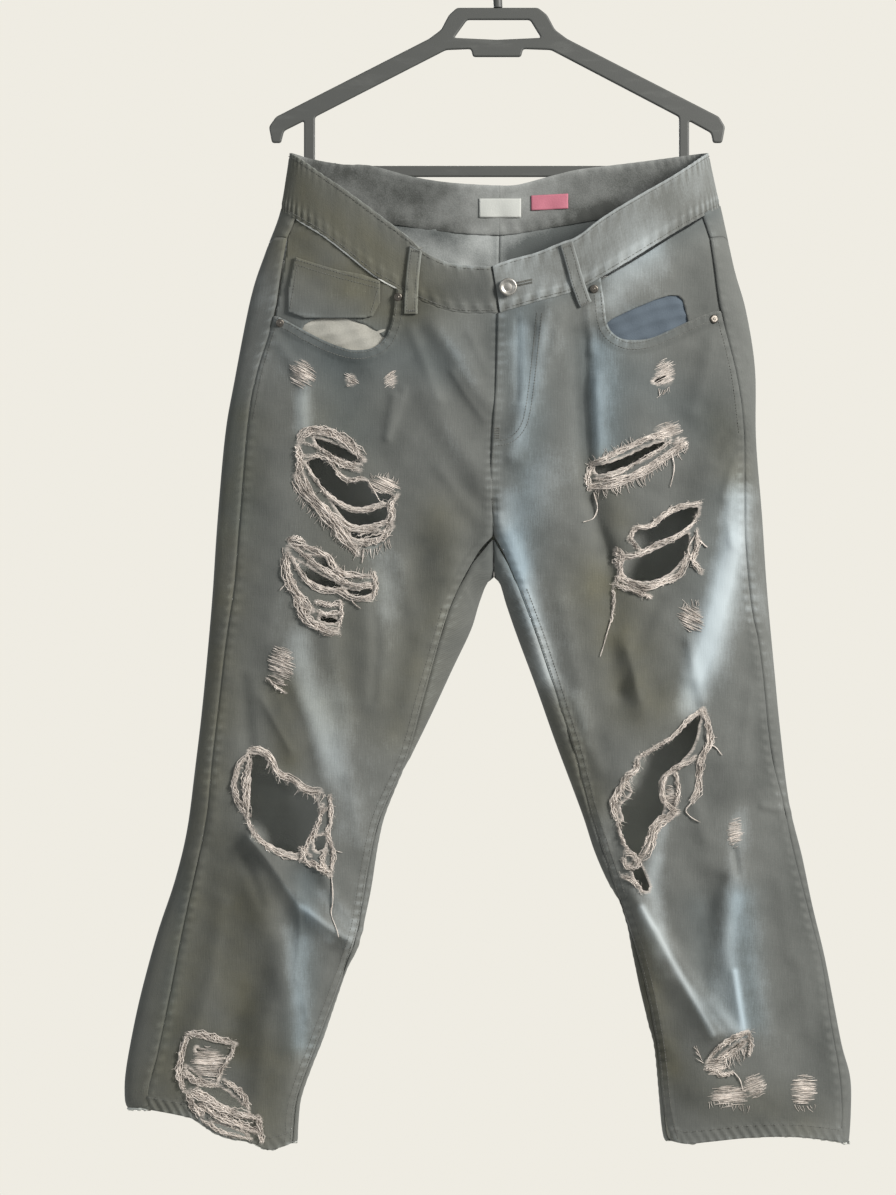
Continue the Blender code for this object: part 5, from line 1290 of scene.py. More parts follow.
def waistband(side, sizes):
    cloth = Cloth(220, 16)
    run = BAND_RUN * cloth.u
    gathers = pucker(run + 12 * cloth.v, 9)
    roping = 0.75 * gathers
    lift = roping * bell(cloth.v - 0.9, 0.16) + 0.6 * roping * bell(cloth.v - 0.05, 0.12)
    lift += 0.35 * np.sin(run / 19 + 3 * cloth.v) - 0.45 * bell(cloth.v - 0.06, 0.03)
    lift -= 0.45 * bell(cloth.v - 0.94, 0.03)
    across, down, depth = band_sheet(side, cloth.u, cloth.v)
    ahead = depth < middle_depth(down)
    # Painted shade darkens the wearer's right half and painted light brightens the left; the top edge gets a
    # painted highlight
    wear = ahead * (tone(across, down) + (-0.10 if side == RIGHT else 0.16))
    wear += 0.4 * bell(cloth.v, 0.05) + 0.16 * bell(cloth.v - 0.82, 0.05)
    wear += 0.26 * gathers * bell(cloth.v - 0.9, 0.16)
    wear += 0.16 * gathers * bell(cloth.v - 0.1, 0.14) + (0.05 if side == LEFT else 0.0)
    grime = stains(GRIME_AND_WARM_SHADE_STROKES, across, down) * ahead
    places = band_spots(side, cloth.u, cloth.v, lift)
    cloth.across, cloth.down = run + 40, BAND_HIGH * cloth.v
    mesh = cloth.mesh(f"band_{side}", places, (0, -1, 0))
    corner = mesh.vertices[0]
    under = Vector(band_spots(side, cloth.u[:1], cloth.v[:1], -5)[0])
    if (corner.co - under).dot(corner.normal) < 0:
        mesh.flip_normals()
    # Painted shade and light on the lining: the inside strokes, a painted highlight along the top edge and
    # painted shading of the gathers
    lining_painted_light = strokes(INSIDE_PAINTED_LIGHT_AND_SHADE, across, down) + 0.22 * bell(cloth.v, 0.06)
    lining_painted_light += 0.10 * pucker(run, 9) * bell(cloth.v - 0.9, 0.15)
    keep_values(mesh, wear=wear, grime=grime, inside=lining_painted_light)
    lining = made("band_lining", plain_cloth_finish, (0.36, 0.37, 0.35), (0.055, 0.058, 0.052))
    band = linked(bpy.data.objects.new(f"waistband_{side}_cloth", mesh), denim(sizes), lining)
    walled(band, sizes.band_wall, 0.6, inside=1, even=True)
    rounded = band.modifiers.new("Folded edge", "BEVEL")
    rounded.width = 0.0007
    rounded.segments = 2
    rounded.limit_method = "ANGLE"
    rounded.angle_limit = math.radians(55)
    return finish_piece(band, "denim", f"waistband_{side}"), skin_of(mesh)


# Pieces behind and on the front: outlines on the sheet
FACING = {
    RIGHT: pairs(287, 213, 301, 223, 322, 236, 347, 255, 373, 276, 394, 288, 412, 298, 406, 350, 392, 344,
        378, 332, 364, 324, 348, 319, 330, 317.5, 315, 319, 304, 325, 296, 334, 275, 322, 279, 290,
        286, 247),
    LEFT: pairs(597, 283, 605, 278, 632, 262, 656, 247, 689, 227, 716, 214, 722, 244, 727, 300, 727, 322,
        696, 336, 688, 318, 683, 299, 670, 295, 640, 306, 612, 319, 598, 326),
}
BAG = {
    RIGHT: pairs(292, 302, 288, 352, 330, 372, 372, 374, 406, 352, 408, 302),
    LEFT: pairs(597, 298, 598, 346, 630, 360, 668, 356, 704, 334, 702, 292),
}
COIN_POCKET = pairs(295, 257, 338, 270, 380, 281, 373, 316, 330, 318, 288, 312)
BACK_POCKET = {
    RIGHT: pairs(300, 328, 440, 342, 432, 470, 366, 506, 300, 468),
    LEFT: pairs(694, 328, 554, 342, 562, 470, 628, 506, 694, 468),
}
FLY_SHIELD = pairs(484, 276, 480, 444, 512, 448, 532, 270)
LABELS = {"label_white": ((479, 199), (479, 218), (521, 218), (521, 199)),
          "label_pink": ((531, 196), (531, 211), (568, 209), (568, 194))}
FRONT_LOOPS = {
    RIGHT: pairs(416, 248, 414, 264, 412, 284, 411, 303, 411, 314),
    LEFT: pairs(566, 243, 571, 260, 577, 282, 583, 299, 586, 305),
}
CENTRE_LOOP = pairs(499, 187.5, 499, 205, 499, 222, 498, 240, 498, 250)
LOOP_WIDTH = 13.0
LOOP_WALL = 1.6
REAR_LOOPS = {RIGHT: 330.0, LEFT: 662.0}
REAR_LOOP_DOWN = 212.0
BAR_TOP = 166.0
BUTTON = (508.0, 287.0)
BUTTON_HOLE = ((516, 284.5), (532, 281))

# Metal: radius and height, out of the cloth
BUTTON_STANDS = 0.9
BUTTON_OUTLINE = pairs(0, 4.4, 3.4, 4.3, 4.3, 4.0, 4.9, 4.2, 6.0, 4.9, 7.3, 5.3, 8.3, 5.0, 8.7, 4.3,
        8.5, 3.5, 7.6, 3.1, 3.4, 2.7, 3.2, 0, 0, 0)
RIVET_OUTLINE = pairs(0, 1.6, 0.7, 1.8, 1.2, 1.3, 1.7, 1.2, 2.9, 1.5, 3.7, 1.2, 4.2, 0.5, 4.1, 0.1, 0, 0.1)

# Rivets on the sheet, and the hanger
RIVETS = pairs(280, 323, 398, 297, 594, 289, 714, 319)
HANGER_OUTLINE = pairs(457, 8, 538, 8, 547, 15, 555, 30, 567, 39, 719, 117, 725, 127, 722, 143, 713, 143,
        711, 133, 689, 121, 689, 177, 304, 177, 304, 121, 284, 131, 281, 143, 272, 143, 269, 127, 276, 117,
        429, 39, 441, 30, 449, 15)
HANDLE_WINDOW = pairs(467, 20, 530, 20, 541, 38, 497, 40, 454, 38)
HANGER_WINDOW = pairs(315, 117, 446, 50, 471, 49, 473, 57, 521, 57, 523, 49, 551, 50, 679, 117, 679, 166,
        315, 166)
HOOK_REACH = 25.5
HOOK_RADIUS = 4.5
NECK = (498.0, 7.7)


def plain_face(side, across, down):
    return front_depth(across, down)


def bag_face(side, across, down):
    """The bag's cotton, pushed forward and wrinkled where the pocket mouth lets it bulge."""
    bulge = 0
    if side == RIGHT:
        away = ((down - 334) / 17) ** 2 + ((across - 349) / 34) ** 2
        bulge = 2.6 * ease((down - 316) / 14) * np.exp(-away)
    wrinkle = 0.5 * np.sin(0.13 * across + 0.5 * down + 1.2 * np.sin(0.05 * across))
    wrinkle += 0.3 * np.sin(0.24 * across - 0.16 * down)
    return front_depth(across, down) - bulge - wrinkle


def layer_piece(name, side, outline, inward, cells, wall, look, slot_name="denim", face=plain_face):
    """A piece under or on a front panel, cut to its outline and moved in or out by this much."""
    outline = np.array(outline, float)
    low, high = outline.min(0), outline.max(0)
    cloth = Cloth(*cells)
    cloth.across = low[0] + (high[0] - low[0]) * cloth.u
    cloth.down = low[1] + (high[1] - low[1]) * cloth.v
    cloth.drop(smooth((*outline, outline[0]), 2)[:-1], keep_inside=True)
    across, down = cloth.across, cloth.down
    places = front_spots(side, across, down, -inward, face)
    mesh = cloth.mesh(name, places, (0, -1, 0))
    away, _ = line_distance([*outline, outline[0]], across, down)
    # The front's tone brings its painted highlights and painted shade, and the edges are lighter
    keep_values(mesh, wear=tone(across, down) + 0.12 * bell(away, 2), grime=stains(GRIME_AND_WARM_SHADE_STROKES, across, down),
                blue=stains(COOL_LIGHT_AND_INDIGO_STROKES, across, down))
    return cloth_piece(name, mesh, (look,), wall, slot_name)


def touch(skins, across, down, behind=False):
    """Places and normals where looks at sheet places meet the nearest of the skins."""
    eye = Vector(spot(EYE_ACROSS, EYE_DOWN, SHEET_DEPTH - VIEW_DISTANCE))
    found = []
    for place in zip(np.ravel(across), np.ravel(down)):
        if behind:
            far = Vector(spot(*place, BACK_PLANE))
            far.y = 0.4
            hits = [skin.ray_cast(far, Vector((0, -1, 0))) for skin in skins]
        else:
            look = (Vector(spot(*place, SHEET_DEPTH)) - eye).normalized()
            hits = [skin.ray_cast(eye, look) for skin in skins]
        hits = [hit for hit in hits if hit[0] is not None]
        if not hits:
            found.append(found[-1] if found else (Vector(spot(*place, -60.0)), Vector((0, -1, 0))))
            continue
        place_found, normal, _, _ = min(hits, key=lambda hit: hit[3])
        hand = 1 if behind else -1
        found.append((place_found, normal if normal.y * hand > 0 else -normal))
    return found


def draped(name, outline_point, cells, skins, wall, lift, sizes, behind=False, bow=0.0):
    """A piece that lies on skins, its places on the sheet given by its own two parts."""
    cloth = Cloth(*cells)
    cloth.across, cloth.down = outline_point(cloth.u, cloth.v).T
    found = touch(skins, cloth.across, cloth.down, behind)
    rise = lift + bow * np.sin(math.pi * cloth.v)
    rows = cloth.v.argsort(kind="stable").reshape(cells[1] + 1, cells[0] + 1)
    places = np.array([place for place, _ in found])
    facing = np.array([normal for _, normal in found])
    for row in rows:
        facing[row] = facing[row].mean(0)
    places = places + facing * np.asarray(rise)[:, None] * MM
    mesh = cloth.mesh(name, places, (0, 1 if behind else -1, 0))
    rim = np.minimum(np.minimum(cloth.u, 1 - cloth.u), 0.5)
    values = {"wear": 0.1 + 0.3 * bell(rim, 0.12)}
    if not behind:
        # The fades add their painted highlights and painted shade to the front pieces
        values["wear"] += strokes(FADES_AND_PAINTED_LIGHT, cloth.across, cloth.down)
        values["grime"] = stains(GRIME_AND_WARM_SHADE_STROKES, cloth.across, cloth.down) * 0.8
    keep_values(mesh, **values)
    return cloth_piece(name, mesh, (denim(sizes),), wall)


def four_sided(corners):
    first, second, third, fourth = (np.array(corner, float) for corner in corners)

    def point(u, v):
        u, v = u[:, None], v[:, None]
        return (1 - v) * ((1 - u) * first + u * fourth) + v * ((1 - u) * second + u * third)

    return point


def strap(route, width):
    route = smooth(route, 3)

    def point(u, v):
        ahead = along(route, np.minimum(1, v + 0.05)) - along(route, np.maximum(0, v - 0.05))
        return along(route, v) + square_to(ahead) * (width * (0.5 - u))[:, None]

    return point


def pocket_outline(corners):
    """A five-cornered pocket whose foot is drawn down to its middle corner."""
    left_top, right_top, right_foot, point, left_foot = (np.array(corner, float) for corner in corners)

    def place_of(u, v):
        u, v = u[:, None], v[:, None]
        drop = (point - (left_foot + right_foot) / 2) * (1 - np.abs(2 * u - 1))
        top = left_top + (right_top - left_top) * u
        return top + (left_foot + (right_foot - left_foot) * u + drop - top) * v

    return place_of


def label(name, bands, colour, shade):
    """A blank woven label on the inside of the back waistband."""
    cloth = Cloth(24, 10)
    cloth.across, cloth.down = four_sided(LABELS[name])(cloth.u, cloth.v).T
    places = []
    for place in spot(cloth.across, cloth.down, BACK_PLANE):
        hits = [skin.find_nearest(Vector(place)) for skin in bands.values()]
        found, _, _, _ = min(hits, key=lambda hit: hit[3])
        places.append(found + Vector((0, -3.0 * MM, 0)))
    places = np.array(places)
    places[:, 1] -= 0.0006 * np.sin(3 * math.pi * cloth.u) * cloth.v
    mesh = cloth.mesh(name, places, (0, -1, 0))
    weave = made(f"{name}_weave", plain_cloth_finish, colour, shade, 900.0, 0.7)
    return cloth_piece(name, mesh, (weave,), 0.5, name)


def rear_loop(side, bands, sizes):
    """A loop of the waistband that stands off it, round the hanger's lower bar."""
    middle = Vector(spot(REAR_LOOPS[side], BAR_TOP - 0.3, 0.0))
    foot = Vector(spot(REAR_LOOPS[side], REAR_LOOP_DOWN, 0.0))
    faces = []
    for height in (middle.z - 3 * MM, foot.z):
        hits = [bands[side].ray_cast(Vector((middle.x + aside * MM, 1, height)), Vector((0, -1, 0)))[0]
                for aside in (-6.5, 0, 6.5)]
        faces.append(max(hit.y for hit in hits if hit is not None))
    half = LOOP_WALL / 2 * MM
    path = ((faces[0] + 1.2 * MM, middle.z + half), (0.0012, middle.z + half), (0.0030, middle.z - half),
            (0.0036, middle.z - 0.006), (0.0036, foot.z + 0.006), (0.0030, foot.z + 2 * half),
            (0.0012, foot.z + half), (faces[1] + 1.2 * MM, foot.z + half))
    route = smooth(path, 3)
    ribbon = bmesh.new()
    bmesh.ops.create_grid(ribbon, x_segments=6, y_segments=len(route) - 1, size=0.5)
    for vert in ribbon.verts:
        depth, height = along(route, vert.co.y + 0.5)
        vert.co = (middle.x + vert.co.x * LOOP_WIDTH * MM, depth, height)
    mesh = bpy.data.meshes.new("rear_loop")
    uv = ribbon.loops.layers.uv.new("Cloth")
    for face in ribbon.faces:
        for loop in face.loops:
            loop[uv].uv = (loop.vert.co.x, loop.vert.co.z)
    ribbon.to_mesh(mesh)
    ribbon.free()
    mesh.shade_smooth()
    keep_values(mesh, wear=np.full(len(mesh.vertices), 0.2))
    return cloth_piece(f"belt_loop_rear_{side}", mesh, (denim(sizes),), LOOP_WALL, lift=LOOP_WALL / 2)


def turned(name, outline, place, normal, steps, look, node):
    """A round piece from an outline of (radius, height), standing on a place along a normal."""
    shell = bmesh.new()
    verts = [shell.verts.new((radius * MM, 0, height * MM)) for radius, height in outline]
    edges = [shell.edges.new(pair) for pair in zip(verts, verts[1:])]
    bmesh.ops.spin(shell, geom=verts + edges, axis=(0, 0, 1), cent=(0, 0, 0), steps=steps,
                   angle=2 * math.pi, use_merge=True)
    bmesh.ops.remove_doubles(shell, verts=list(shell.verts), dist=0.00001)
    bmesh.ops.recalc_face_normals(shell, faces=list(shell.faces))
    turn = normal.to_track_quat("Z", "Y").to_matrix().to_4x4()
    turn.translation = place
    bmesh.ops.transform(shell, matrix=turn, verts=list(shell.verts))
    mesh = bpy.data.meshes.new(name)
    shell.to_mesh(mesh)
    shell.free()
    mesh.shade_smooth()
    mesh.set_sharp_from_angle(angle=math.radians(50))
    piece = linked(bpy.data.objects.new(f"{name}_metal", mesh), look)
    return finish_piece(piece, "aged_metal", node)


def realised(name, curve):
    """A curve's own mesh, at the origin."""
    guide = bpy.data.objects.new(name, curve)
    bpy.context.scene.collection.objects.link(guide)
    mesh = bpy.data.meshes.new_from_object(guide.evaluated_get(bpy.context.evaluated_depsgraph_get()))
    bpy.data.objects.remove(guide)
    bpy.data.curves.remove(curve)
    mesh.name = name
    mesh.shade_smooth()
    return bpy.data.objects.new(name, mesh)


class Yarns:
    """Many yarns or stitches, laid as tapering lines and made into one mesh."""

    def __init__(self, name):
        self.name = name
        self.dice = random.Random(name)
        self.laid = {}

    def lay(self, place_of, line, lift, radii):
        """Keeps one yarn: its line on a surface, its lift off it and its radii in millimetres."""
        lift, radii = (np.broadcast_to(item, len(line)) for item in (lift, radii))
        self.laid.setdefault(place_of, []).append((line, lift, radii))

    def mesh(self, look):
        curve = bpy.data.curves.new(self.name, "CURVE")
        curve.dimensions = "3D"
        curve.bevel_depth = MM
        curve.bevel_resolution = 0
        curve.use_fill_caps = True
        for place_of, yarns in self.laid.items():
            lines, lifts, radii = zip(*yarns)
            places = place_of(np.vstack(lines), np.concatenate(lifts))
            ends = np.cumsum([len(line) for line in lines])[:-1]
            for run, sizes in zip(np.split(places, ends), radii):
                spline = curve.splines.new("POLY")
                spline.points.add(len(run) - 1)
                rows = np.column_stack((run, np.ones(len(run))))
                spline.points.foreach_set("co", rows.astype(np.float32).ravel())
                spline.points.foreach_set("radius", sizes.astype(np.float32))
        piece = realised(self.name, curve)
        piece.data.materials.clear()
        return linked(piece, look)

    def between(self, low, high):
        return self.dice.uniform(low, high)


def square_to(ahead):
    """Unit steps square to these ones."""
    return np.column_stack((ahead[:, 1], -ahead[:, 0])) / np.linalg.norm(ahead, axis=1)[:, None]


def offset_line(route, away, steps=6):
    """A smooth line on the sheet this far to the left of a route, as it is walked."""
    route = smooth(route, steps)
    return route + square_to(np.gradient(route, axis=0)) * away


def walk(route, at):
    """Places this far along a line."""
    runs = np.concatenate(([0], np.cumsum(np.linalg.norm(np.diff(route, axis=0), axis=1))))
    return np.column_stack([np.interp(at, runs, column) for column in np.transpose(route)]), runs[-1]


def bundle(yarns, front, route, width, count):
    """Loose weft yarns that follow a torn edge, each with its own wander."""
    route = smooth(route, 4)
    _, run = walk(route, 0)
    steps = max(7, min(20, int(run / 2.4)))
    for _ in range(int(0.75 * count) + 1):
        begin, finish = yarns.between(0, 0.42) ** 2 * 3, 1 - yarns.between(0, 0.42) ** 2 * 3
        if finish - begin < 0.2:
            begin, finish = 0.1, 0.9
        middle, _ = walk(route, np.linspace(begin, finish, steps) * run)
        square = square_to(np.gradient(middle, axis=0))
        part = np.linspace(0, 1, steps)
        turns, phase = yarns.between(0.6, 4.0), yarns.between(0, 6.3)
        aside = yarns.between(-0.5, 0.5) * width + yarns.between(-0.25, 0.25) * width * part
        aside = aside + yarns.between(0.3, 0.14 * width + 0.8) * np.sin(turns * 6.28 * part + phase)
        aside = aside + yarns.between(0.2, 0.9) * np.sin(run * part * (0.5 + 0.1 * turns) + 3 * phase)
        lift = 0.3 + yarns.between(0, 2.0) + 0.9 * np.sin(turns * 5.1 * part + 2 * phase)
        places = middle + square * aside[:, None]
        thick = yarns.between(0.28, 0.62)
        radii = thick * (0.45 + 0.55 * np.sin(np.pi * np.clip(part, 0.06, 0.94)) ** 0.5)
        yarns.lay(front, places, lift, radii)
    fluff(yarns, front, route, run, width)


def fluff(yarns, front, route, run, width):
    """Fine curled fibres that stand out all round a bundle, and the knots that they gather into."""
    for number in range(int(0.6 * run)):
        root, _ = walk(route, yarns.between(0, 1) * run)
        root = root[0] + [yarns.between(-0.6, 0.6) * width, yarns.between(-0.6, 0.6) * width]
        turn, curl = yarns.between(0, 6.28), yarns.between(-2.6, 2.6)
        part = np.linspace(0, 1, 5)
        size = yarns.between(1.2, 4.2)
        across = root[0] + size * part * np.cos(turn + curl * part)
        down = root[1] + size * part * np.sin(turn + curl * part)
        knot = number % 9 == 0
        thick = yarns.between(0.5, 0.85) if knot else yarns.between(0.12, 0.24)
        lift = 0.6 + yarns.between(0.4, 2.4) * part
        line = np.column_stack((across, down))
        if knot:
            line = line * 0.5 + root * 0.5
        yarns.lay(front, line, lift, thick * (1 - 0.5 * part))


def fringe(yarns, front, route, reach_across, reach_down, count):
    """Short ends that stick out of a torn edge."""
    route = smooth(route, 4)
    _, run = walk(route, 0)
    for number in range(count):
        root, _ = walk(route, run * (number + yarns.between(0, 1)) / count)
        size = yarns.between(0.45, 1.25)
        part = np.linspace(0, 1, 5)
        sway = yarns.between(-0.55, 0.55)
        across = root[0, 0] + reach_across * size * part + reach_down * sway * size * part ** 1.6
        down = root[0, 1] + reach_down * size * part - reach_across * sway * size * part ** 1.6
        across = across + yarns.between(-0.5, 0.5) * np.sin(3.2 * part)
        lift = 0.3 + yarns.between(0, 1.3) * np.sin(2.6 * part) ** 2
        radii = yarns.between(0.2, 0.42) * (1 - 0.55 * part)
        yarns.lay(front, np.column_stack((across, down)), lift, radii)


def patch(yarns, front, route, wide, high, slope, count):
    """Cross yarns that lie bare where the warp has been rubbed away."""
    middle = route[0]
    for _ in range(count):
        turn, far = yarns.between(0, 6.28), yarns.between(0, 1) ** 0.6
        root_across = middle[0] + wide * far * math.cos(turn) * 0.7
        root_down = middle[1] + high * far * math.sin(turn)
        half = wide * yarns.between(0.25, 0.75) * (1.15 - far * 0.6)
        part = np.linspace(-1, 1, 5)
        across = root_across + half * part
        down = root_down + slope * half * part + yarns.between(-0.8, 0.8) * part ** 2
        lift = 0.15 + yarns.between(0.2, 1.2) * np.cos(1.4 * part)
        radii = yarns.between(0.2, 0.46) * (1.05 - 0.6 * np.abs(part))
        yarns.lay(front, np.column_stack((across, down)), lift, radii)


def loose(yarns, front, route, radius):
    """One long thread that hangs free of the cloth."""
    route = smooth(route, 6)
    part = np.linspace(0, 1, len(route))
    for strand in range(2):
        places = route + 0.35 * np.column_stack((np.sin(9 * part + 3 * strand), np.cos(7 * part + strand)))
        lift = 0.8 + 0.9 * np.sin(4 * part + strand) ** 2
        yarns.lay(front, places, lift, 0.5 * radius * (1 - 0.5 * part ** 2))


LAYERS = {BAND: bundle, FRINGE: fringe, PATCH: patch, STRAND: loose}


def frayed(name, sizes):
    side, nodes, shown = THREADS[name]
    yarns = Yarns(name)
    front = front_place(side)
    for kind, *details in shown:
        LAYERS[kind](yarns, front, *details)
    look = made("frayed_yarn", yarn_finish, tuple(sizes.yarn), tuple(sizes.yarn_shade))
    return finish_piece(yarns.mesh(look), "frayed_thread", *nodes)


def front_place(side):
    return lambda line, lift: front_spots(side, line[:, 0], line[:, 1], lift)


def band_place(side):
    return lambda line, lift: band_spots(side, line[:, 0], line[:, 1], lift + 0.6)


def skin_place(skins, behind, base):
    def places(line, lift):
        found = touch(skins, line[:, 0], line[:, 1], behind)
        return np.array([place + normal * ((base + rise) * MM)
                         for (place, normal), rise in zip(found, lift)])

    return places


def sewn(yarns, line, place_of, pitch, scale=1.0, side=None):
    """A row of lock stitches along a line, each a short arch between two holes."""
    _, run = walk(line, 0)
    count = max(1, int(run * scale / pitch))
    for number in range(count):
        reach = np.array((0.12, 0.5, 0.86)) + number
        places, _ = walk(line, reach * run / count)
        if side and near_an_edge(side, places):
            continue
        yarns.lay(place_of, places, (-0.12, 0.3, -0.12), (0.24, 0.34, 0.24))


def near_an_edge(side, places):
    """Whether a stitch of a front panel would lie off it or where it has been torn out."""
    return (side_seam_away(side, *places.T).min() < 1.5 or inner_away(side, *places.T).min() < 0.8
            or any(inside_ring(np.array(outline), *places[1]) for outline in RIPS[side]))


FLY_CURVE = pairs(537, 312, 533, 350, 527, 400, 521, 425, 509, 438, 494, 441)


def front_seams(side):
    """Topstitched lines of a front panel, on the sheet."""
    hand = -1 if side == RIGHT else 1
    mouth = np.array(MOUTH_LINE[side])
    if side == LEFT:
        mouth = mouth[::-1]
    mouth = [tuple(place) for place in mouth[::4]]
    lines = [offset_line(mouth, away, 4) for away in (2.2 * hand, 8.6 * hand)]
    inseam = [place for place in INSEAM[side] if place[1] > 560]
    lines += [offset_line(inseam, hand * away) for away in (2.0, 7.2)]
    across = np.linspace(HEM[side][0][0] + 3, HEM[side][-1][0] - 3, 60)
    lines.append(np.column_stack((across, read(HEM[side], across, by_down=False) - 12.2)))
    hip = [place for place in SIDE_SEAM[side] if place[1] > 300][:3]
    lines.append(offset_line(hip, hand * -5.0))
    if side == LEFT:
        lines += [offset_line(FLY_CURVE, away) for away in (0.0, 5.0)]
        seam = [(495, 446), (493.5, 480), (496, 528)]
        lines += [offset_line(seam, away) for away in (-2.0, -6.6)]
    return lines


def front_stitching(side, sizes):
    yarns = Yarns(f"stitching_front_{side}")
    front = front_place(side)
    for line in front_seams(side):
        sewn(yarns, line, front, sizes.stitch_pitch, side=side)
    if side == LEFT:
        tack = np.column_stack((np.full(2, 494.5), (427, 439)))
        for shift in np.arange(0, 5, 0.8):
            sewn(yarns, tack + (shift, 0), front, 2.2)
    return stitched(yarns, sizes)


def stitched(yarns, sizes):
    shade = tuple(0.5 * part for part in sizes.thread)
    look = made("stitching_thread", yarn_finish, tuple(sizes.thread), shade)
    return finish_piece(yarns.mesh(look), "denim")


def band_stitching(side, sizes):
    """Stitching along both edges of a waistband, and round the buttonhole."""
    yarns = Yarns(f"stitching_band_{side}")
    band = band_place(side)
    for v in (0.06, 0.94):
        line = np.column_stack((np.linspace(0.01, 0.99, 140), np.full(140, v)))
        sewn(yarns, line, band, sizes.stitch_pitch, BAND_RUN)
    if side == LEFT:
        start, end = (np.array(place) for place in BUTTON_HOLE)
        outer = skin_place(SKINS["bands"], False, 0.6)
        for part in np.linspace(0, 1, 26):
            middle = start + (end - start) * part
            for hand in (-1, 1):
                line = np.array((middle + (0, 0.5 * hand), middle + (0.2, 2.4 * hand)))
                yarns.lay(outer, line, (0.2, 0.1), 0.32)
    return stitched(yarns, sizes)


def pocket_stitching(sizes):
    """Stitching of the coin pocket and the front belt loops."""
    yarns = Yarns("stitching_small_pieces")
    outer = skin_place(SKINS["coin"], False, 0.0)
    straps = skin_place(SKINS["loops"], False, 0.0)
    corners = [np.array(corner, float) for corner in COIN_POCKET]
    for away in (2.4, 7.4):
        top = [corner + (0, away) for corner in corners[:3]]
        sewn(yarns, smooth(top, 4), outer, sizes.stitch_pitch)
    for foot, head in ((corners[5], corners[0]), (corners[3], corners[2])):
        hand = 2.2 if foot is corners[5] else -2.2
        sewn(yarns, np.array((foot + (hand, -3), head + (hand, 9))), outer, sizes.stitch_pitch)
    for route in FRONT_LOOPS.values():
        for part in (0.2, 0.8):
            line = strap(route, LOOP_WIDTH)(np.full(20, part), np.linspace(0.05, 0.95, 20))
            sewn(yarns, line, straps, sizes.stitch_pitch)
        for part in (0.05, 0.92):
            tack = strap(route, LOOP_WIDTH)(np.linspace(0.15, 0.85, 9), np.full(9, part))
            for shift in (-0.7, 0, 0.7):
                sewn(yarns, tack + (0, shift), straps, 1.7)
    return stitched(yarns, sizes)


def back_stitching(sizes):
    yarns = Yarns("stitching_back")
    cloth = skin_place(SKINS["back"], True, 0.0)
    pockets = skin_place(SKINS["back_pockets"], True, 0.0)
    pitch = sizes.stitch_pitch * 1.3
    for side in SIDES:
        hand = 1 if side == RIGHT else -1
        centre = (CENTRE_BACK - 3 * hand, YOKE_CENTRE_DOWN)
        edge = (SIDE_SEAM[side][0][0] + 12 * hand, YOKE_SIDE_DOWN + 4)
        for away in (3.0, 8.0):
            line = np.array(((edge[0], edge[1] + away), (centre[0], centre[1] + away)), float)
            sewn(yarns, line, cloth, pitch)
        corners = np.array(BACK_POCKET[side], float)
        middle = corners.mean(0)
        for inset in (0.965, 0.90):
            ring = middle + (corners - middle) * inset
            for start, end in ((1, 2), (2, 3), (3, 4), (4, 0)):
                sewn(yarns, ring[[start, end]], pockets, pitch)
        hem = corners[:2] + (0, 14)
        sewn(yarns, middle + (hem - middle) * (0.96, 1), pockets, pitch)
    down = np.linspace(YOKE_CENTRE_DOWN + 8, SEAT_END_DOWN - 8, 40)
    lean = (CENTRE_BACK - CROTCH_ACROSS) * (down - CENTRE_BACK_DOWN) / (SEAT_END_DOWN - CENTRE_BACK_DOWN)
    for away in (3.0, 8.0):
        sewn(yarns, np.column_stack((CENTRE_BACK - lean + away, down)), cloth, pitch)
    return stitched(yarns, sizes)


def hanger_frame(look):
    """The moulded frame, its edges rounded, with a rib's thickness left at the arms."""
    curve = bpy.data.curves.new("hanger", "CURVE")
    curve.dimensions = "2D"
    curve.fill_mode = "BOTH"
    edge = 1.6 * MM
    curve.extrude = 2.5 * MM - edge
    curve.bevel_depth = edge
    curve.bevel_resolution = 3
    curve.offset = -edge
    for outline in (HANGER_OUTLINE, HANDLE_WINDOW, HANGER_WINDOW):
        ring = soft_corners(outline)
        spline = curve.splines.new("POLY")
        spline.points.add(len(ring) - 1)
        spline.use_cyclic_u = True
        for point, place in zip(spline.points, ring):
            found = spot(*place, 0.0)
            point.co = (found[0], found[2], 0, 1)
    piece = realised("hanger", curve)
    for vert in piece.data.vertices:
        vert.co = (vert.co.x, -vert.co.z, vert.co.y)
    piece.data.set_sharp_from_angle(angle=math.radians(40))
    piece.data.materials.clear()
    piece.name = "hanger_frame_plastic"
    return finish_piece(linked(piece, look), "hanger_plastic", "hanger_frame")


def soft_corners(outline, cut=2.5, steps=4):
    """An outline with its corners rounded."""
    places = np.array(outline, float)
    ring = []
    for before, corner, after in zip(np.roll(places, 1, axis=0), places, np.roll(places, -1, axis=0)):
        reach = [min(cut, 0.45 * np.linalg.norm(end - corner)) for end in (before, after)]
        start, end = (corner + (far - corner) / np.linalg.norm(far - corner) * size
                      for far, size in zip((before, after), reach))
        for part in np.linspace(0, 1, steps):
            ring.append((1 - part) ** 2 * start + 2 * part * (1 - part) * corner + part ** 2 * end)
    return ring


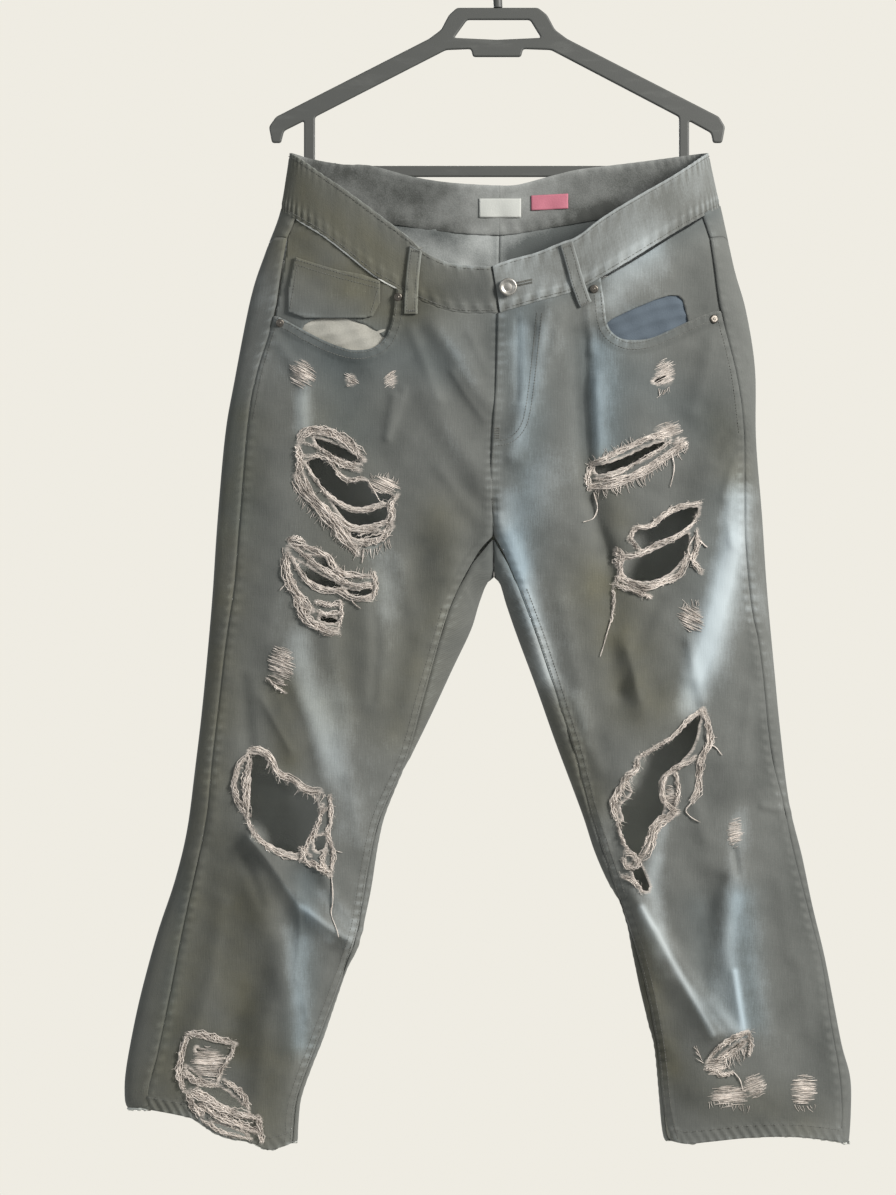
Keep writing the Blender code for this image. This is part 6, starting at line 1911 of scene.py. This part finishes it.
def hanger_hook(look):
    curve = bpy.data.curves.new("hook", "CURVE")
    curve.dimensions = "3D"
    curve.bevel_depth = HOOK_RADIUS * MM
    curve.bevel_resolution = 6
    curve.use_fill_caps = True
    turns = np.radians(np.arange(-48, 205, 14))
    bow = [(HOOK_REACH * math.cos(turn), HOOK_REACH * math.sin(turn) - 21) for turn in turns]
    neck = spot(*NECK, 0.0) / MM
    rise = [(neck[0], neck[2]), (neck[0], neck[2] + 12), (neck[0] + 5, neck[2] + 20)]
    route = np.array(smooth(rise + bow, 3))
    spline = curve.splines.new("POLY")
    spline.points.add(len(route) - 1)
    for point, (across, height) in zip(spline.points, route):
        point.co = (across * MM, 0, height * MM, 1)
    piece = realised("hook", curve)
    piece.data.set_sharp_from_angle(angle=math.radians(60))
    piece.data.materials.clear()
    piece.name = "hanger_hook_plastic"
    return finish_piece(linked(piece, look), "hanger_plastic", "hanger_hook")


SKINS = {}


def number(label, description, value, low, high, unit="NONE"):
    return bpy.props.FloatProperty(name=label, description=description, default=value, min=low, max=high,
                                   unit=unit)


def count(label, description, value, low, high):
    return bpy.props.IntProperty(name=label, description=description, default=value, min=low, max=high)


def colour(label, description, *value):
    return bpy.props.FloatVectorProperty(name=label, description=description, subtype="COLOR", size=3,
                                         default=value)


class JeansSizes(bpy.types.PropertyGroup):
    """Sizes, counts and colours of the cloth, in metres and linear colour."""

    cloth_wall: number("Cloth wall", "Thickness of the denim, in millimetres", 1.2, 0.6, 1.4)
    band_wall: number("Waistband wall", "Thickness of the doubled waistband, in millimetres", 2.6, 1.8, 2.8)
    weave_depth: number("Weave depth", "Height of the weave's relief", 0.00028, 0.0, 0.001, "LENGTH")
    twill_pitch: number("Twill pitch", "Distance between two twill lines", 0.0012, 0.0006, 0.004, "LENGTH")
    stitch_pitch: number("Stitch pitch", "Length of one stitch, in millimetres", 3.0, 2.0, 5.0)
    front_columns: count("Front columns", "Grid cells across a front panel", 100, 20, 110)
    front_rows: count("Front rows", "Grid cells down a front panel", 420, 80, 430)
    back_columns: count("Back columns", "Grid cells across a back panel", 90, 20, 110)
    # The dark end of the denim also stands for painted shade, and the worn end for painted highlights
    denim_dark: colour("Dark denim", "Denim where the dye is deepest", 0.050, 0.054, 0.049)
    denim_mid: colour("Middle denim", "Denim between dark and worn", 0.140, 0.145, 0.133)
    denim_light: colour("Worn denim", "Denim where the dye has gone", 0.46, 0.50, 0.50)
    grime: colour("Grime tint", "Tint of the brownish areas", 0.86, 0.80, 0.62)
    # The grime tint also paints warm shade, and the indigo tint also paints cool light
    indigo_and_cool_light_tint: colour("Indigo tint", "Tint of the bluish areas", 0.82, 0.94, 1.04)
    yarn: colour("Bare yarn", "Undyed cotton of the frayed places", 0.82, 0.74, 0.66)
    yarn_shade: colour("Dull yarn", "Darker tone of the frayed cotton", 0.30, 0.26, 0.22)
    thread: colour("Stitching", "Colour of the sewing thread", 0.16, 0.16, 0.14)
    plastic: colour("Hanger", "Colour of the moulded plastic", 0.078, 0.080, 0.073)


def sizes_of(context):
    return context.scene.jeans_sizes


class JEANS_OT_front_panels(bpy.types.Operator):
    """Make the two front panels, with their rips cut through."""

    bl_idname = "jeans.front_panels"
    bl_label = "Front panels"

    def execute(self, context):
        for side in SIDES:
            panel, skin = front_panel(side, sizes_of(context))
            SKINS.setdefault("front", []).append(skin)
        return {"FINISHED"}


class JEANS_OT_back_panels(bpy.types.Operator):
    """Make the two back panels and the two yokes above them."""

    bl_idname = "jeans.back_panels"
    bl_label = "Back panels and yokes"

    def execute(self, context):
        sizes = sizes_of(context)
        for side in SIDES:
            yoke, skin = back_piece(f"yoke_{side}", side, sizes, 20, (0, 0.998 / ROWS), yoke_wrong_side)
            panel, lower = back_piece(f"back_panel_{side}", side, sizes, 270, (1.0 / ROWS, 1), leg_wrong_side)
            SKINS.setdefault("back", []).extend((skin, lower))
        return {"FINISHED"}


class JEANS_OT_waistbands(bpy.types.Operator):
    """Make both halves of the waistband, its labels and its belt loops."""

    bl_idname = "jeans.waistbands"
    bl_label = "Waistband, labels and loops"

    def execute(self, context):
        sizes = sizes_of(context)
        bands = {}
        for side in SIDES:
            band, bands[side] = waistband(side, sizes)
        SKINS["bands"] = list(bands.values())
        white = label("label_white", bands, (0.60, 0.61, 0.56), (0.42, 0.43, 0.40))
        pink = label("label_pink", bands, (0.52, 0.17, 0.22), (0.40, 0.12, 0.16))
        skins = SKINS["front"] + SKINS["bands"]
        for side in SIDES:
            name = f"belt_loop_front_{side}"
            outline = strap(FRONT_LOOPS[side], LOOP_WIDTH)
            loop = draped(name, outline, (8, 40), skins, 1.5, 2.6, sizes, bow=0.8)
            SKINS.setdefault("loops", []).append(skin_of(loop.data))
            rear = rear_loop(side, bands, sizes)
        skins = SKINS["bands"] + SKINS["back"]
        centre = draped("belt_loop_centre", strap(CENTRE_LOOP, LOOP_WIDTH), (8, 40), skins, 1.5, 2.6, sizes,
                        behind=True, bow=0.8)
        return {"FINISHED"}


class JEANS_OT_pockets(bpy.types.Operator):
    """Make the facings, bags, coin pocket, back pockets and fly shield."""

    bl_idname = "jeans.pockets"
    bl_label = "Pockets and fly"

    def execute(self, context):
        sizes = sizes_of(context)
        cotton = {RIGHT: ("bag_cotton", plain_cloth_finish, (0.56, 0.545, 0.48), (0.22, 0.21, 0.175)),
                  LEFT: ("bag_cotton_in_shade", plain_cloth_finish, (0.115, 0.145, 0.175),
                         (0.060, 0.078, 0.095))}
        for side in SIDES:
            facing = layer_piece(f"pocket_facing_{side}", side, FACING[side], 1.9, (64, 64), 1.2,
                                 denim(sizes))
            bag = layer_piece(f"pocket_bag_{side}", side, BAG[side], 3.4, (60, 44), 0.8,
                              made(*cotton[side]), "pocket_cotton", bag_face)
        coin = layer_piece("coin_pocket", RIGHT, COIN_POCKET, -0.4, (52, 36), 1.2, denim(sizes))
        SKINS["coin"] = [skin_of(coin.data)]
        for side in SIDES:
            name = f"back_pocket_{side}"
            outline = pocket_outline(BACK_POCKET[side])
            pocket = draped(name, outline, (48, 48), SKINS["back"], 1.3, 2.1, sizes, behind=True)
            SKINS.setdefault("back_pockets", []).append(skin_of(pocket.data))
        skins = SKINS["front"] + SKINS["bands"]
        shield = draped("fly_shield", four_sided(FLY_SHIELD), (16, 60), skins, 1.3, -3.1, sizes)
        return {"FINISHED"}


class JEANS_OT_metal(bpy.types.Operator):
    """Make the shank button and the four rivets."""

    bl_idname = "jeans.metal"
    bl_label = "Button and rivets"

    def execute(self, context):
        look = made("silvered_metal_finish", metal_finish, (0.56, 0.54, 0.49), (0.26, 0.24, 0.21))
        dark = made("aged_metal_finish", metal_finish, (0.20, 0.18, 0.155), (0.10, 0.09, 0.075))
        place, normal = touch(SKINS["bands"], *BUTTON)[0]
        outline = [(radius, BUTTON_STANDS + height) for radius, height in BUTTON_OUTLINE]
        turned("button", outline, place, normal, 48, look, "button")
        for number, at in enumerate(RIVETS, 1):
            place, normal = touch(SKINS["front"], *at)[0]
            turned(f"rivet_{number}", RIVET_OUTLINE, place, normal, 32, dark, f"rivet_{number}")
        return {"FINISHED"}


class JEANS_OT_hanger(bpy.types.Operator):
    """Make the moulded hanger and its hook."""

    bl_idname = "jeans.hanger"
    bl_label = "Hanger"

    def execute(self, context):
        look = made("moulded_plastic_finish", plastic_finish, tuple(sizes_of(context).plastic))
        hanger_frame(look)
        hanger_hook(look)
        return {"FINISHED"}


class JEANS_OT_fraying(bpy.types.Operator):
    """Make the frayed yarns of every rip."""

    bl_idname = "jeans.fraying"
    bl_label = "Frayed yarns"

    def execute(self, context):
        for name in THREADS:
            frayed(name, sizes_of(context))
        return {"FINISHED"}


class JEANS_OT_stitching(bpy.types.Operator):
    """Make the topstitching of all the pieces."""

    bl_idname = "jeans.stitching"
    bl_label = "Stitching"

    def execute(self, context):
        sizes = sizes_of(context)
        for side in SIDES:
            front_stitching(side, sizes)
            band_stitching(side, sizes)
        pocket_stitching(sizes)
        back_stitching(sizes)
        return {"FINISHED"}


def lamp(name, place, aim, power, size, colour):
    light = bpy.data.lights.new(name, "AREA")
    light.energy = power
    light.size = size
    light.color = colour
    obj = bpy.data.objects.new(name, light)
    obj.location = place
    obj.rotation_euler = (Vector(aim) - Vector(place)).to_track_quat("-Z", "Y").to_euler()
    bpy.context.scene.collection.objects.link(obj)


def pale_room():
    """Surroundings that look pale and give only part of their brightness as light."""
    world = bpy.data.worlds.new("pale_room")
    world.use_nodes = True
    tree = world.node_tree
    seen = tree.nodes["Background"]
    seen.inputs["Color"].default_value = (0.863, 0.838, 0.766, 1)
    given = tree.nodes.new("ShaderNodeBackground")
    given.inputs["Color"].default_value = (0.92, 0.96, 1.0, 1)
    given.inputs["Strength"].default_value = 0.26
    rays = tree.nodes.new("ShaderNodeLightPath")
    both = tree.nodes.new("ShaderNodeMixShader")
    tree.links.new(rays.outputs["Is Camera Ray"], both.inputs[0])
    tree.links.new(given.outputs[0], both.inputs[1])
    tree.links.new(seen.outputs[0], both.inputs[2])
    tree.links.new(both.outputs[0], tree.nodes["World Output"].inputs["Surface"])
    return world


class JEANS_OT_stage(bpy.types.Operator):
    """Set up the pale studio: floor, surroundings, soft lamps and camera."""

    bl_idname = "jeans.stage"
    bl_label = "Studio"

    def execute(self, context):
        scene = context.scene
        scene.view_settings.view_transform = "Standard"
        floor = bmesh.new()
        bmesh.ops.create_circle(floor, cap_ends=True, segments=96, radius=0.55)
        bmesh.ops.translate(floor, verts=list(floor.verts), vec=(0, 0, -1.42))
        mesh = bpy.data.meshes.new("floor")
        floor.to_mesh(mesh)
        floor.free()
        paper = Finish("pale_paper", roughness=0.9)
        grain = paper.noise(paper.object_place(), 40.0, 3.0)
        look = paper.link(paper.mix(grain, (0.72, 0.70, 0.65, 1), (0.78, 0.76, 0.70, 1)), "Base Color")
        linked(bpy.data.objects.new("floor", mesh), look)
        scene.world = pale_room()
        lamp("key", (2.4, -2.0, 0.7), (0, 0, -0.6), 165, 0.9, (1, 0.98, 0.96))
        lamp("fill", (-2.2, -1.8, -0.1), (0, 0, -0.7), 16, 1.6, (0.95, 0.98, 1))
        lamp("rear", (-0.4, 2.6, 0.9), (0, 0, -0.6), 60, 1.6, (1, 1, 1))
        camera = bpy.data.cameras.new("camera")
        camera.sensor_width = SENSOR
        camera.lens = SENSOR * (VIEW_DISTANCE * MM) / IMAGE_HIGH
        eye = bpy.data.objects.new("camera", camera)
        eye.location = spot(EYE_ACROSS, EYE_DOWN, SHEET_DEPTH - VIEW_DISTANCE)
        eye.rotation_euler = (math.pi / 2, 0, 0)
        scene.collection.objects.link(eye)
        scene.camera = eye
        return {"FINISHED"}


STEPS = ("stage", "front_panels", "back_panels", "waistbands", "pockets", "metal", "hanger", "fraying",
         "stitching")


class JEANS_PT_panel(bpy.types.Panel):
    """Lists the steps of the build and its sizes."""

    bl_idname = "JEANS_PT_panel"
    bl_label = "Ripped jeans"
    bl_space_type = "VIEW_3D"
    bl_region_type = "UI"
    bl_category = "Jeans"

    def draw(self, context):
        for step in STEPS:
            self.layout.operator(f"jeans.{step}")
        for name in JeansSizes.__annotations__:
            self.layout.prop(context.scene.jeans_sizes, name)


CLASSES = (JeansSizes, JEANS_OT_front_panels, JEANS_OT_back_panels, JEANS_OT_waistbands,
           JEANS_OT_pockets, JEANS_OT_metal, JEANS_OT_hanger, JEANS_OT_fraying, JEANS_OT_stitching,
           JEANS_OT_stage, JEANS_PT_panel)


def register():
    for item in CLASSES:
        bpy.utils.register_class(item)
    bpy.types.Scene.jeans_sizes = bpy.props.PointerProperty(type=JeansSizes)


def unregister():
    del bpy.types.Scene.jeans_sizes
    for item in reversed(CLASSES):
        bpy.utils.unregister_class(item)


def main():
    register()
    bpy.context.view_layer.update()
    for step in STEPS:
        getattr(bpy.ops.jeans, step)()


if __name__ == "__main__":
    main()
